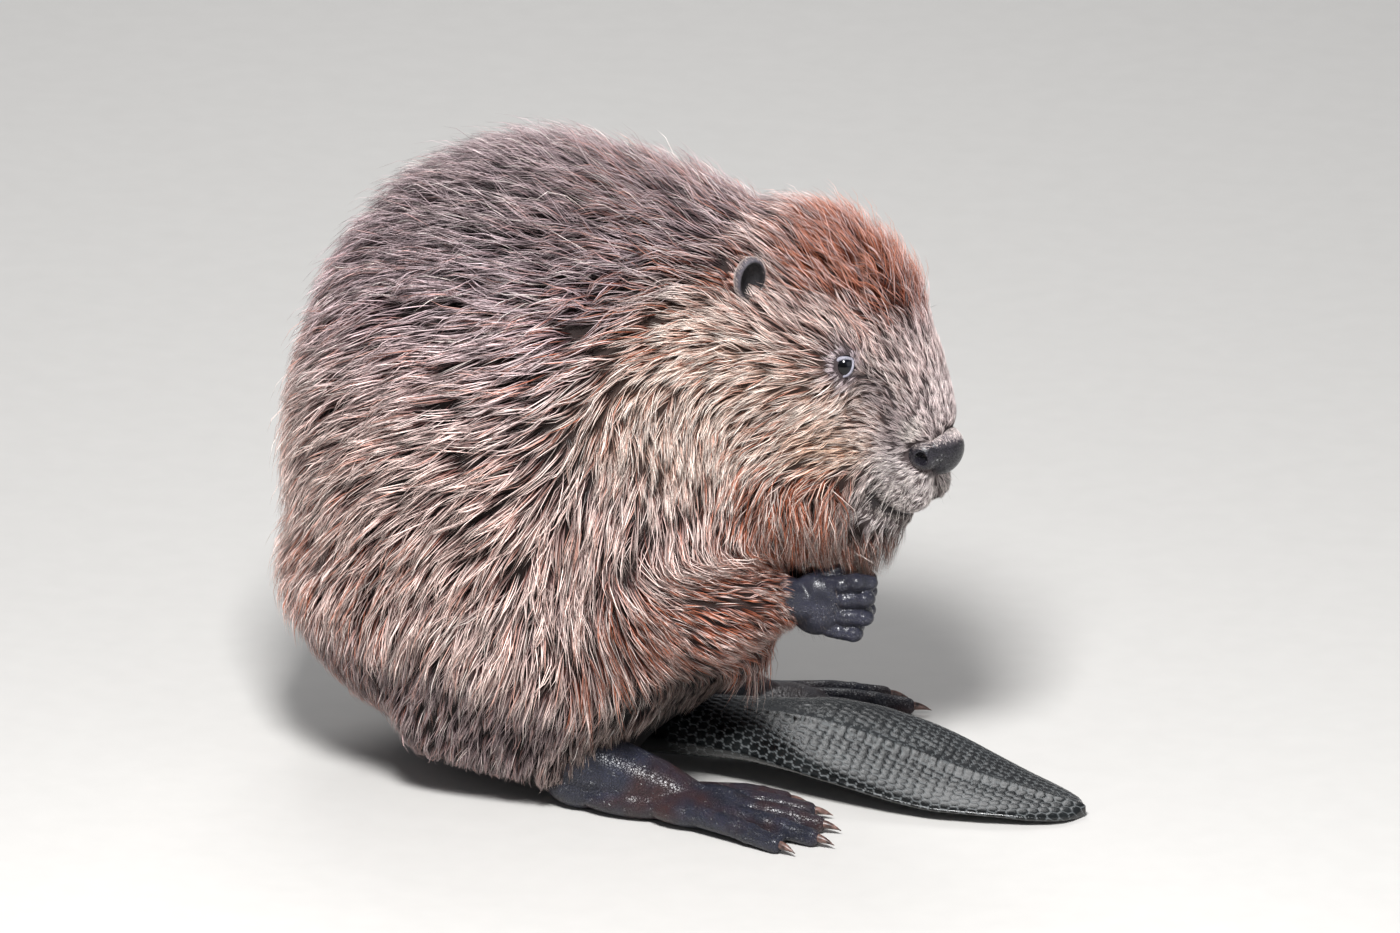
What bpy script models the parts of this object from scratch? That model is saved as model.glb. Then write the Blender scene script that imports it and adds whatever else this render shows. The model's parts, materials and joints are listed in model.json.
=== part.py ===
"""A life-size beaver that sits on its haunches, forepaws together, its flat tail passed forward under it.

Metres, +Z up. +X is the way the body faces, +Y its left side. The animal is laid out round the point on
the floor under its middle, and at the end everything is moved so that the footprint's centre is the origin.
"""

import bisect
import itertools
import math
import random

import bmesh
import bpy
import numpy as np
from mathutils import Euler, Matrix, Vector
from mathutils.bvhtree import BVHTree

CM, MM = 0.01, 0.001
GAP = 0.0003

# The coat: the skin carries a dense underfur, the core, and guard-hair locks that stand above it.
CORE = 0.010
HEAD_CORE = 0.006
# The furred body is one mesh of about this many triangles before the locks are fused to it
BODY_TRIANGLES = 1900

# The head turns about the point midway between its eyes.
EYE_MIDPOINT = Vector((0.2085, -0.008, 0.329))
HEAD_YAW = math.radians(-13)
HEAD_PITCH = math.radians(29)

EYEBALL = 0.0078
EYE_SOCKET_RADII = Vector((2.0, 0.9, 1.5)) * CM
EYE_AT = Vector((0.15, 5.0, 0.3)) * CM
NOSE_AT = Vector((8.25, 0.0, -3.3)) * CM

RIGHT, LEFT = -1, 1
SIDES = {"right": RIGHT, "left": LEFT}
# The right ear is pricked, the left one laid back
EAR_AT = {RIGHT: Vector((-8.3, -7.5, 2.8)) * CM, LEFT: Vector((-8.8, 7.3, 1.6)) * CM}
EAR_UP = {RIGHT: Vector((-0.42, -0.10, 0.90)), LEFT: Vector((-0.65, 0.25, 0.70))}

FUR_BROWN = (0.16, 0.10, 0.065, 1)
SKIN_DARK = (0.035, 0.030, 0.032, 1)


def clear_scene():
    for obj in list(bpy.data.objects):
        bpy.data.objects.remove(obj)


def material(name, colour, roughness):
    made = bpy.data.materials.new(name)
    made.use_nodes = True
    shader = made.node_tree.nodes["Principled BSDF"]
    shader.inputs["Base Color"].default_value = colour
    shader.inputs["Roughness"].default_value = roughness
    made.diffuse_color = colour
    return made


def mesh_object(name, bm):
    bmesh.ops.recalc_face_normals(bm, faces=bm.faces)
    mesh = bpy.data.meshes.new(name)
    bm.to_mesh(mesh)
    bm.free()
    obj = bpy.data.objects.new(name, mesh)
    bpy.context.scene.collection.objects.link(obj)
    return obj


def remove(*objs):
    for obj in objs:
        bpy.data.objects.remove(obj)


def settle(obj):
    """Applies an object's modifiers, so that its mesh is what they make."""
    bpy.context.view_layer.update()
    graph = bpy.context.evaluated_depsgraph_get()
    old = obj.data
    made = bpy.data.meshes.new_from_object(obj.evaluated_get(graph))
    obj.modifiers.clear()
    obj.data = made
    bpy.data.meshes.remove(old)
    return obj


# Simple solids


def blob(centre, radii, turn=(0, 0, 0), detail=4):
    """An ellipsoid, turned by degrees about X, Y and Z."""
    bm = bmesh.new()
    bmesh.ops.create_icosphere(bm, subdivisions=detail, radius=1)
    spin = Euler([math.radians(a) for a in turn]).to_matrix().to_4x4()
    shape = Matrix.Translation(Vector(centre)) @ spin @ Matrix.Diagonal((*radii, 1))
    bmesh.ops.transform(bm, matrix=shape, verts=bm.verts)
    return mesh_object("blob", bm)


def rounded_cone(start, start_radius, end, end_radius, detail=3):
    """The hull of two balls."""
    bm = bmesh.new()
    for centre, radius in ((start, start_radius), (end, end_radius)):
        place = Matrix.Translation(Vector(centre))
        bmesh.ops.create_icosphere(bm, subdivisions=detail, radius=radius, matrix=place)
    bmesh.ops.delete(bm, geom=bm.edges[:], context="EDGES_FACES")
    hull = bmesh.ops.convex_hull(bm, input=bm.verts)
    bmesh.ops.delete(bm, geom=hull["geom_interior"], context="VERTS")
    return mesh_object("rounded_cone", bm)


def limb(points, radii, detail=3):
    """A chain of rounded cones through the points."""
    spans = zip(points, radii, points[1:], radii[1:])
    return [rounded_cone(a, ra, b, rb, detail) for a, ra, b, rb in spans]


def loft(rings, name="loft"):
    """A closed skin over rings of as many points each, with flat ends."""
    bm = bmesh.new()
    levels = [[bm.verts.new(p) for p in ring] for ring in rings]
    count = len(levels[0])
    for lower, upper in zip(levels, levels[1:]):
        for i in range(count):
            j = (i + 1) % count
            bm.faces.new((lower[i], lower[j], upper[j], upper[i]))
    bm.faces.new(levels[0])
    bm.faces.new(reversed(levels[-1]))
    return mesh_object(name, bm)


def box(low, high, name="box"):
    bm = bmesh.new()
    low, high = Vector(low), Vector(high)
    place = Matrix.Translation((low + high) / 2) @ Matrix.Diagonal((*(high - low), 1))
    bmesh.ops.create_cube(bm, size=1, matrix=place)
    return mesh_object(name, bm)


# Joining and cutting


def boolean(obj, other, operation, solver="MANIFOLD"):
    """Joins, cuts or keeps what two closed meshes share, and removes the second."""
    cut = obj.modifiers.new("boolean", "BOOLEAN")
    cut.operation = operation
    cut.solver = solver
    cut.object = other
    settle(obj)
    remove(other)
    return obj


def unite(base, pieces, solver="MANIFOLD"):
    """One Boolean union of the base with every piece."""
    group = bpy.data.collections.new("pieces")
    bpy.context.scene.collection.children.link(group)
    for piece in pieces:
        bpy.context.scene.collection.objects.unlink(piece)
        group.objects.link(piece)
    join = base.modifiers.new("union", "BOOLEAN")
    join.operand_type = "COLLECTION"
    join.collection = group
    join.operation = "UNION"
    join.solver = solver
    settle(base)
    remove(*pieces)
    bpy.data.collections.remove(group)
    return base


def smooth_step(low, high, value):
    share = min(1, max(0, (value - low) / (high - low)))
    return share * share * (3 - 2 * share)


def copy_of(obj, name):
    made = obj.copy()
    made.data = obj.data.copy()
    made.name = name
    bpy.context.scene.collection.objects.link(made)
    return made


def island_volume(faces):
    total = 0.0
    for face in faces:
        corners = [v.co for v in face.verts]
        for b, c in zip(corners[1:], corners[2:]):
            total += corners[0].dot(b.cross(c)) / 6
    return total


def keep_largest(obj):
    """Keeps only the largest closed surface of a mesh."""
    bm = bmesh.new()
    bm.from_mesh(obj.data)
    unseen, islands = set(bm.faces), []
    while unseen:
        stack, island = [unseen.pop()], []
        while stack:
            face = stack.pop()
            island.append(face)
            for edge in face.edges:
                for other in edge.link_faces:
                    if other in unseen:
                        unseen.remove(other)
                        stack.append(other)
        islands.append(island)
    largest = max(islands, key=lambda faces: abs(island_volume(faces)))
    scraps = [face for island in islands if island is not largest for face in island]
    bmesh.ops.delete(bm, geom=scraps, context="FACES")
    bm.to_mesh(obj.data)
    bm.free()
    return obj


def join_loose(pieces, name):
    """All pieces in one object, still overlapping, ready for a remesh."""
    bm = bmesh.new()
    for piece in pieces:
        bm.from_mesh(piece.data)
    remove(*pieces)
    return mesh_object(name, bm)


def fuse(name, pieces, voxel, rounds, triangles=None):
    """Melts overlapping solids into one smooth body, thinned to about as many triangles if asked."""
    obj = join_loose(pieces, name)
    remesh = obj.modifiers.new("remesh", "REMESH")
    remesh.mode = "VOXEL"
    remesh.voxel_size = voxel
    soften = obj.modifiers.new("soften", "SMOOTH")
    soften.factor = 0.5
    soften.iterations = rounds
    settle(obj)
    if triangles is None:
        return obj
    thin = obj.modifiers.new("thin", "DECIMATE")
    quads_to_triangles = 2
    thin.ratio = min(1.0, triangles / (quads_to_triangles * len(obj.data.polygons)))
    thin.use_collapse_triangulate = True
    return settle(obj)


# The head's own axes: x forward from between the eyes, y to its left, z up


def head_frame():
    turn = Matrix.Rotation(HEAD_YAW, 4, "Z") @ Matrix.Rotation(HEAD_PITCH, 4, "Y")
    return Matrix.Translation(EYE_MIDPOINT) @ turn


HEAD = head_frame()

# Along the head, in centimetres from the eyes: forward, top, bottom, half width, how square the section is.
HEAD_STATIONS = (
    (-12.0, 3.4, -8.6, 6.2, 2.0),
    (-9.5, 4.8, -9.8, 6.9, 2.0),
    (-6.5, 5.6, -10.2, 6.7, 2.0),
    (-3.5, 5.8, -10.3, 6.1, 2.0),
    (-1.0, 5.4, -10.3, 5.3, 2.0),
    (1.5, 4.4, -10.3, 4.6, 2.1),
    (4.0, 2.6, -10.2, 4.0, 2.2),
    (6.2, 0.9, -10.0, 3.1, 2.1),
    (7.4, -0.2, -9.8, 2.3, 2.0),
    (8.6, -3.6, -9.0, 1.7, 2.0),
)
SECTION_POINTS = 28


def superellipse(top, bottom, half_width, power, grow, count=SECTION_POINTS):
    """(y, z) points of a section that is an ellipse at power 2 and boxier above it."""
    middle, half_height = (top + bottom) / 2, (top - bottom) / 2 + grow
    points = []
    for i in range(count):
        angle = 2 * math.pi * i / count
        c, s = math.cos(angle), math.sin(angle)
        y = math.copysign(abs(c) ** (2 / power), c) * (half_width + grow)
        z = math.copysign(abs(s) ** (2 / power), s) * half_height
        points.append((y, middle + z))
    return points


def head_masses(grow):
    """The skull, muzzle, cheeks, lips and jaw, in the body's axes, grown by the depth of the core."""
    grow_cm = grow / CM
    rings = []
    for x, top, bottom, half, power in HEAD_STATIONS:
        muzzle_share = min(1, max(0, (x + 3) / 8))
        section = superellipse(top, bottom, half, power, grow_cm * (1 - 0.8 * muzzle_share))
        rings.append([HEAD @ (Vector((x, y, z)) * CM) for y, z in section])
    masses = [loft(rings)]
    thin = grow * 0.2
    for side in (RIGHT, LEFT):
        cheek = (-2.0, side * 4.6, -5.2), (4.6, 2.4, 3.8)
        brow = (-0.6, side * 3.2, 1.5), (2.4, 1.7, 1.2)
        lip = (7.1, side * 1.45, -6.6), (2.6, 1.55, 1.9)
        for (centre, radii), extra in ((cheek, grow * 0.7), (brow, thin), (lip, thin)):
            mass = blob((0, 0, 0), [r * CM + extra for r in radii])
            mass.data.transform(HEAD @ Matrix.Translation(Vector(centre) * CM))
            masses.append(mass)
    chin = blob((0, 0, 0), [r * CM + thin for r in (2.4, 1.9, 1.3)])
    chin.data.transform(HEAD @ Matrix.Translation(Vector((6.4, 0, -9.6)) * CM))
    masses.append(chin)
    return masses


# The body's masses at the skin: centre, radii and turn in degrees
BODY_MASSES = {
    "barrel": ((-0.030, 0, 0.226), (0.180, 0.148, 0.221), (0, 0, 0)),
    "rump": ((-0.062, 0, 0.135), (0.152, 0.142, 0.112), (0, 0, 0)),
    "belly": ((0.035, 0, 0.135), (0.108, 0.112, 0.080), (0, 0, 0)),
    "chest": ((0.066, -0.002, 0.225), (0.088, 0.098, 0.115), (0, 0, 0)),
    "shoulders": ((0.040, 0, 0.300), (0.110, 0.118, 0.112), (0, 10, 0)),
    "seat": ((-0.040, 0, 0.045), (0.105, 0.075, 0.052), (0, 0, 0)),
}
THIGH = ((-0.020, 0.088, 0.120), (0.110, 0.066, 0.082), (0, 0, 0))
SHANK = [(-0.085, 0.098, 0.062), (-0.010, 0.098, 0.046), (0.030, 0.099, 0.036)]
SHANK_RADII = [0.032, 0.030, 0.022]
NECK = [(0.020, 0, 0.335), (0.085, -0.002, 0.330), (0.150, -0.006, 0.318)]
NECK_RADII = [0.104, 0.090, 0.078]
THROAT = [(0.090, -0.002, 0.250), (0.165, -0.008, 0.262), (0.172, -0.008, 0.233), (0.196, -0.012, 0.222)]
THROAT_RADII = [0.082, 0.068, 0.046, 0.040]
UPPER_ARM = [(0.050, 0.084, 0.250), (0.052, 0.108, 0.165)]
UPPER_ARM_RADII = [0.050, 0.038]
# The paws are held together a little to the right of the middle, the left one behind the right
FOREARM = {
    RIGHT: [(0.052, -0.110, 0.158), (0.105, -0.083, 0.146), (0.150, -0.047, 0.147)],
    LEFT: [(0.052, 0.110, 0.158), (0.100, 0.076, 0.140), (0.140, 0.013, 0.139)],
}
FOREARM_RADII = [0.036, 0.031, 0.020]
TAIL_ROOT = [(-0.080, 0, 0.060), (-0.010, -0.001, 0.046), (0.030, -0.002, 0.041)]
TAIL_ROOT_RADII = [0.050, 0.036, 0.026]


def on_side(points, side):
    return [(x, side * y, z) for x, y, z in points]


def body_masses(grow):
    """The trunk, neck and limbs down to wrist and ankle, grown by the depth of the core."""
    masses = []
    for centre, radii, turn in BODY_MASSES.values():
        masses.append(blob(centre, [r + grow for r in radii], turn))
    for points, radii in ((NECK, NECK_RADII), (THROAT, THROAT_RADII)):
        masses += limb(points, [r + grow for r in radii])
    masses += limb(TAIL_ROOT, [r + grow * 0.3 for r in TAIL_ROOT_RADII])
    for side in (RIGHT, LEFT):
        centre, radii, turn = THIGH
        masses.append(blob((centre[0], side * centre[1], centre[2]), [r + grow for r in radii], turn))
        masses += limb(on_side(SHANK, side), [r + grow * 0.4 for r in SHANK_RADII])
        masses += limb(on_side(UPPER_ARM, side), [r + grow for r in UPPER_ARM_RADII])
        masses += limb(FOREARM[side], [r + grow * 0.5 for r in FOREARM_RADII])
    return masses


# The guard hair: flat tapered locks that follow the lie of the coat

LOCK_SEED = 11
LOCK_TRIES = 9000
LOCK_LENGTH = 0.122
LOCK_WIDTH = 0.060
LOCK_SPACING = 0.075
# Along a lock: share of its length, height of its ridge and of its edges over the core, share of its width
LOCK_RINGS = (
    (0.00, -0.001, -0.007, 0.50),
    (0.40, 0.0080, 0.0010, 1.00),
    (0.75, 0.0100, 0.0055, 0.72),
)
LOCK_TIP = 0.0110
SMALLEST_LOCK = 0.38
# The hair stands up over the crown and forehead
CROWN_LIFT = 0.013
CROWN_ROOTS = ((5.6, 0), (4.4, 1.7), (4.4, -1.7), (2.9, 0), (1.4, 2.2), (1.4, -2.2), (0.0, 0))
CROWN_LOCK = 0.36
LOWEST_ROOT = 0.075
UNDERSIDE = -0.82


def fall(height):
    """How steeply the coat hangs at a height, in degrees below the level: combed back above."""
    heights = (0.05, 0.10, 0.18, 0.25, 0.33, 0.40, 0.45)
    degrees = (85, 78, 60, 40, 22, 12, 5)
    return math.radians(float(np.interp(height, heights, degrees)))


def in_head(point):
    """The point in the head's axes, in centimetres."""
    return (HEAD.inverted() @ point) / CM


def lie(point, normal):
    """Which way the coat runs at a point of the skin."""
    at = in_head(point)
    headward = smooth_step(-12.0, -7.0, at.x) * smooth_step(-13.5, -9.5, at.z)
    drop = fall(point.z)
    back = Vector((-math.cos(drop), 0, -math.sin(drop)))
    breast = smooth_step(0.10, 0.16, point.x) * (1 - headward)
    down = Vector((-0.15, 0, -1))
    head_back = HEAD.to_3x3() @ Vector((-1, 0.10 * math.copysign(1, at.y), -0.25 if at.z < 0 else 0.05))
    way = back.lerp(down, breast).lerp(head_back.normalized(), headward)
    way -= normal * way.dot(normal)
    return way.normalized() if way.length > 1e-4 else Vector((0, 0, -1))


def lift(point):
    """How far the tips stand off beyond the rest of the coat."""
    at = in_head(point)
    return CROWN_LIFT * smooth_step(-7, -2, at.x) * smooth_step(-1.0, 2.0, at.z)


def bare_places():
    """Centres and radii of what stays free of locks: eyes, ears, muzzle, paws, feet and the tail."""
    places = [(HEAD @ (Vector((8.0, 0, -5.0)) * CM), 0.056), (Vector((0.090, 0, 0.030)), 0.080)]
    for side in (RIGHT, LEFT):
        places.append((HEAD @ eye_centre(side), 0.016))
        places.append((HEAD @ EAR_AT[side], 0.016))
        places.append((Vector(FOREARM[side][-1]), 0.022))
        places.append((Vector((0.060, side * 0.105, 0.020)), 0.060))
    return places


def lock(tree, root, normal, size):
    """One lock over the surface: three rings of a ridge and two edges, then a point."""
    point, way, walked = root, lie(root, normal), 0.0
    stand = lift(root)
    height = max(size, 0.6)
    bm = bmesh.new()
    rings = []
    for share, ridge, edge, width in LOCK_RINGS:
        point, normal, _, _ = tree.find_nearest(point + way * (LOCK_LENGTH * size * (share - walked)))
        way, walked = lie(point, normal), share
        across = normal.cross(way).normalized() * (LOCK_WIDTH * size * width / 2)
        low = normal * (edge * height + stand * share)
        high = normal * (ridge * height + stand * share)
        section = (point - across + low, point + high, point + across + low)
        rings.append([bm.verts.new(place) for place in section])
    point, normal, _, _ = tree.find_nearest(point + way * (LOCK_LENGTH * size * (1 - walked)))
    tip = bm.verts.new(point + normal * (LOCK_TIP * height + stand))
    for lower, upper in zip(rings, rings[1:]):
        for i in range(3):
            j = (i + 1) % 3
            bm.faces.new((lower[i], lower[j], upper[j], upper[i]))
    for i in range(3):
        bm.faces.new((rings[-1][i], rings[-1][(i + 1) % 3], tip))
    bm.faces.new(rings[0][::-1])
    return mesh_object("lock", bm)


def crown_roots(tree):
    """The locks in the middle of the crown, straight below points above it."""
    roots = []
    for x, y in CROWN_ROOTS:
        above, below = (HEAD @ (Vector((x, y, z)) * CM) for z in (9.0, -4.0))
        point, normal, _, _ = tree.ray_cast(above, below - above)
        roots.append((point, normal, CROWN_LOCK))
    return roots


def lock_roots(obj, tree):
    """Evenly spread roots over the coat, smaller and closer together on the head and round what is bare."""
    draw = random.Random(LOCK_SEED)
    bare = bare_places()
    faces = [face for face in obj.data.polygons if face.area > 0]
    sums = list(itertools.accumulate(face.area for face in faces))
    roots = crown_roots(tree)
    for _ in range(LOCK_TRIES):
        face = faces[min(len(faces) - 1, bisect.bisect(sums, draw.random() * sums[-1]))]
        corners = [obj.data.vertices[i].co for i in face.vertices[:3]]
        a, b = sorted((draw.random(), draw.random()))
        point = corners[0] * a + corners[1] * (b - a) + corners[2] * (1 - b)
        room = min((point - centre).length - radius for centre, radius in bare)
        if room < LOCK_LENGTH * SMALLEST_LOCK or point.z < LOWEST_ROOT or face.normal.z < UNDERSIDE:
            continue
        headward = smooth_step(-12.0, -8.0, in_head(point).x)
        size = min(room / LOCK_LENGTH, 1 - 0.40 * headward) * draw.uniform(0.90, 1.10)
        gaps = ((point - other).length / (size + other_size) for other, _, other_size in roots)
        if all(gap > LOCK_SPACING / 2 for gap in gaps):
            roots.append((point, face.normal.copy(), size))
    return roots


def add_coat(whole):
    """Fuses the locks with the body in one union."""
    graph = bpy.context.evaluated_depsgraph_get()
    tree = BVHTree.FromObject(whole, graph)
    locks = [lock(tree, *root) for root in lock_roots(whole, tree)]
    print("locks", len(locks))
    unite(whole, locks)
    return keep_largest(whole)


# Hand and foot: (x, |y|, z) in the body's axes, on the animal's left side where y is positive

# The hand is laid out round its palm's centre, as a left hand whose palm faces -Y
HAND_AT = {RIGHT: (0.176, -0.040, 0.1445), LEFT: (0.168, -0.003, 0.1365)}
PALM_RADII = (0.021, 0.0130, 0.0230)
WRIST_FROM_PALM = (-0.020, 0.004, 0.003)
# Root, knuckle and tip of each finger, from the top one down, in millimetres from the palm's centre
FINGERS = (
    ((12, 2, 15.5), (30, 3, 20.0), (39, -3, 18.0)),
    ((12, 2, 5.0), (36, 1, 7.0), (35, -10, 5.0)),
    ((12, 2, -7.0), (35, 1, -7.0), (34, -10, -7.0)),
    ((10, 1, -17.5), (27, 0, -20.0), (28, -9, -17.5)),
)
FINGER_RADII = (0.0070, 0.0068, 0.0056)

ANKLE = (0.022, 0.099, 0.034)
INSTEP = (0.075, 0.106, 0.021)
BALL = (0.108, 0.112, 0.012)
# Toe roots and tips from the innermost to the outermost, on the floor
TOE_ROOTS = ((0.104, 0.090), (0.114, 0.099), (0.118, 0.110), (0.112, 0.122), (0.100, 0.130))
TOE_TIPS = ((0.160, 0.071), (0.182, 0.089), (0.195, 0.115), (0.198, 0.143), (0.176, 0.163))
TOE_RADII = (0.0080, 0.0078, 0.0068)
HIND_CLAW = 0.020
FORE_CLAW = 0.012
# How far past the end of the forearm the fur ends and the bare hand begins
WRIST_CUT = 0.004
WEB_LOW, WEB_HIGH = 0.0025, 0.0075
WEB_REACH = 0.90
WEB_NOTCH = 0.80


def mirrored(obj, side):
    """A piece made for the left, turned over for the right."""
    if side == RIGHT:
        obj.data.transform(Matrix.Diagonal((1, -1, 1, 1)))
        obj.data.flip_normals()
    return obj


def finger_points(finger):
    """Root, knuckle and tip of a finger that curls in towards the other hand, in metres."""
    return [Vector(point) * MM for point in finger]


def thumb_points():
    return [Vector((0.002, -0.003, 0.0190)), Vector((0.015, -0.008, 0.0235))]


def in_hand(obj, side):
    """Moves a piece laid out round the palm to where its hand is."""
    mirrored(obj, side)
    obj.data.transform(Matrix.Translation(Vector(HAND_AT[side])))
    return obj


def hand(side):
    """A closed forepaw: palm, four curled fingers, a small thumb and the wrist."""
    pieces = [blob((0, 0, 0), PALM_RADII)]
    for finger in FINGERS:
        pieces += limb(finger_points(finger), FINGER_RADII)
    pieces += limb(thumb_points(), (0.0060, 0.0050))
    for piece in pieces:
        in_hand(piece, side)
    x, y, z = WRIST_FROM_PALM
    palm = Vector(HAND_AT[side])
    wrist = palm + Vector((x, side * y, z))
    pieces += limb([FOREARM[side][-1], wrist, palm], [0.019, 0.0165, 0.0130])
    return fuse("hand", pieces, 0.0015, 3, 500)


def toe_points(index):
    """Root, arch and tip of a toe that lies on the floor."""
    (rx, ry), (tx, ty) = TOE_ROOTS[index], TOE_TIPS[index]
    return [
        Vector((rx, ry, 0.0135)),
        Vector((rx * 0.45 + tx * 0.55, ry * 0.45 + ty * 0.55, 0.0115)),
        Vector((tx, ty, 0.0062)),
    ]


def web(index):
    """The skin between two toes: a thin sheet that ends in a shallow curve short of the toe tips."""
    roots = [Vector((*TOE_ROOTS[i], 0)) for i in (index, index + 1)]
    tips = [Vector((*TOE_TIPS[i], 0)) for i in (index, index + 1)]
    reach = [root.lerp(tip, WEB_REACH) for root, tip in zip(roots, tips)]
    notch = roots[0].lerp(roots[1], 0.5).lerp(tips[0].lerp(tips[1], 0.5), WEB_NOTCH)
    outline = [roots[0], reach[0], notch, reach[1], roots[1]]
    rings = [[Vector((p.x, p.y, z)) for p in outline] for z in (WEB_LOW, WEB_HIGH)]
    return loft(rings, "web")


def foot(side):
    """A broad hind foot: ankle, instep, five long toes and the webs between them."""
    pieces = [blob(BALL, (0.040, 0.030, 0.0135))]
    pieces += limb([SHANK[-1], ANKLE, INSTEP, BALL], [0.022, 0.025, 0.020, 0.014])
    pieces.append(blob((0.022, 0.099, 0.018), (0.030, 0.022, 0.019)))
    pieces.append(blob((0.066, 0.105, 0.012), (0.050, 0.025, 0.014)))
    for index in range(len(TOE_TIPS)):
        pieces += limb(toe_points(index), TOE_RADII)
    for index in range(len(TOE_TIPS) - 1):
        pieces.append(web(index))
    made = fuse("foot", pieces, 0.0018, 3, 540)
    boolean(made, box((-1, -1, -1), (1, 1, 0)), "DIFFERENCE")
    return mirrored(keep_largest(made), side)


def tube(points, radii, sides=6, squash=1.0):
    """A closed tube through the points; squash flattens its section along the tube's own up."""
    rings = []
    for i, point in enumerate(points):
        axis = (points[min(i + 1, len(points) - 1)] - points[max(i - 1, 0)]).normalized()
        across = axis.cross(Vector((0, 0, 1)))
        across = across.normalized() if across.length > 1e-3 else Vector((0, 1, 0))
        over = across.cross(axis)
        ring = []
        for k in range(sides):
            angle = 2 * math.pi * (k + 0.5) / sides
            ring.append(point + radii[i] * (across * math.cos(angle) + over * (squash * math.sin(angle))))
        rings.append(ring)
    return loft(rings, "tube")


def claw(root, tip, radius):
    """A blunt claw, a little hooked, from inside the toe to its tip."""
    points = [root, root.lerp(tip, 0.55) + Vector((0, 0, radius * 0.35)), tip]
    return tube(points, [radius * 0.95, radius * 0.95, radius * 0.35], 6)


def claws_of(foot_side):
    """The hind claws of one foot, from the inner toe outwards."""
    made = []
    for index, (x, y) in enumerate(TOE_TIPS):
        heading = (Vector((x, y, 0)) - Vector((*TOE_ROOTS[index], 0))).normalized()
        root = Vector((x, y, 0.0062)) - heading * 0.002
        tip = root + heading * HIND_CLAW + Vector((0, 0, -0.0030))
        made.append(mirrored(claw(root, tip, 0.0036), foot_side))
    return made


def fore_claws_of(side):
    """The fore claws of one hand: they point back into the fist."""
    made = []
    for finger in FINGERS:
        tip = finger_points(finger)[-1]
        heading = Vector((-0.93, -0.12, -0.34)).normalized()
        root = tip + heading * 0.0015
        made.append(in_hand(claw(root, root + heading * FORE_CLAW, 0.0030), side))
    root, tip = thumb_points()
    heading = (tip - root).normalized()
    made.append(in_hand(claw(tip, tip + heading * FORE_CLAW * 0.8, 0.0025), side))
    return made


# The tail: a flat scaly blade, laid forward from under the body and down to the floor, bent to the right.
# In centimetres: how far forward, right edge, left edge, height of its middle and half its depth.
TAIL_STATIONS = (
    (1.2, -2.7, 2.7, 3.05, 1.95),
    (6.0, -3.0, 3.6, 3.00, 1.90),
    (9.5, -3.6, 4.9, 2.95, 1.75),
    (12.5, -4.4, 5.8, 2.95, 1.45),
    (16.5, -5.8, 6.6, 2.95, 1.10),
    (20.0, -6.6, 6.9, 2.50, 0.90),
    (23.5, -7.2, 6.3, 1.90, 0.80),
    (27.0, -7.55, 4.8, 1.35, 0.70),
    (30.5, -7.4, 2.9, 0.95, 0.64),
    (33.5, -6.9, 1.0, 0.62, 0.62),
    (35.5, -6.2, -0.6, 0.48, 0.52),
    (36.7, -5.2, -1.8, 0.38, 0.42),
    (37.2, -3.6, -3.6, 0.30, 0.34),
)
TAIL_START = TAIL_STATIONS[0][0] * CM
TAIL_END = TAIL_STATIONS[-1][0] * CM
TAIL_HALF = 0.068
TAIL_TILT = 0.08
SCALE = 0.0255
SCALE_GROOVE = 0.0013
SCALE_RISE = 0.0011
SCALES_FROM = 0.075


def tail_section(x):
    """Right edge, left edge, middle height and half depth of the blade at x, all in metres."""
    stations = np.array(TAIL_STATIONS) * CM
    return [float(np.interp(x, stations[:, 0], stations[:, k])) for k in range(1, 5)]


def tail_point(x, u, face):
    """A point of the blade: u runs from -1 to 1 across; face 1 is its top, -1 its underside, 0 its rim."""
    near, far, middle, depth = tail_section(x)
    half = (far - near) / 2
    across = half * u
    rim = max(0, 1 - abs(u) ** 2.6) ** 0.5
    spread = smooth_step(0.10, 0.18, x) * (1 - smooth_step(0.25, 0.33, x))
    ridge = 0.0020 * math.exp(-((across / 0.006) ** 2)) * smooth_step(0.10, 0.16, x)
    height = middle + TAIL_TILT * spread * across + face * depth * rim
    return Vector((x, (near + far) / 2 + across, height + (ridge * rim if face > 0 else 0)))


def honeycomb(pitch, length, half_width):
    """Hexagons over a strip, each as its corners (x, u), with u from -1 to 1 across."""
    row = pitch * math.sqrt(3) / 2
    reach = pitch / math.sqrt(3)
    across = int(half_width / pitch) + 1
    turns = [math.radians(60 * k) for k in range(6)]
    cells = []
    for i in range(int(length / row) + 2):
        for j in range(-across, across + 1):
            x, y = i * row, (j + 0.5 * (i % 2)) * pitch
            corners = [(x + reach * math.cos(turn), y + reach * math.sin(turn)) for turn in turns]
            cells.append([(cx, cy / half_width) for cx, cy in corners])
    return cells


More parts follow.
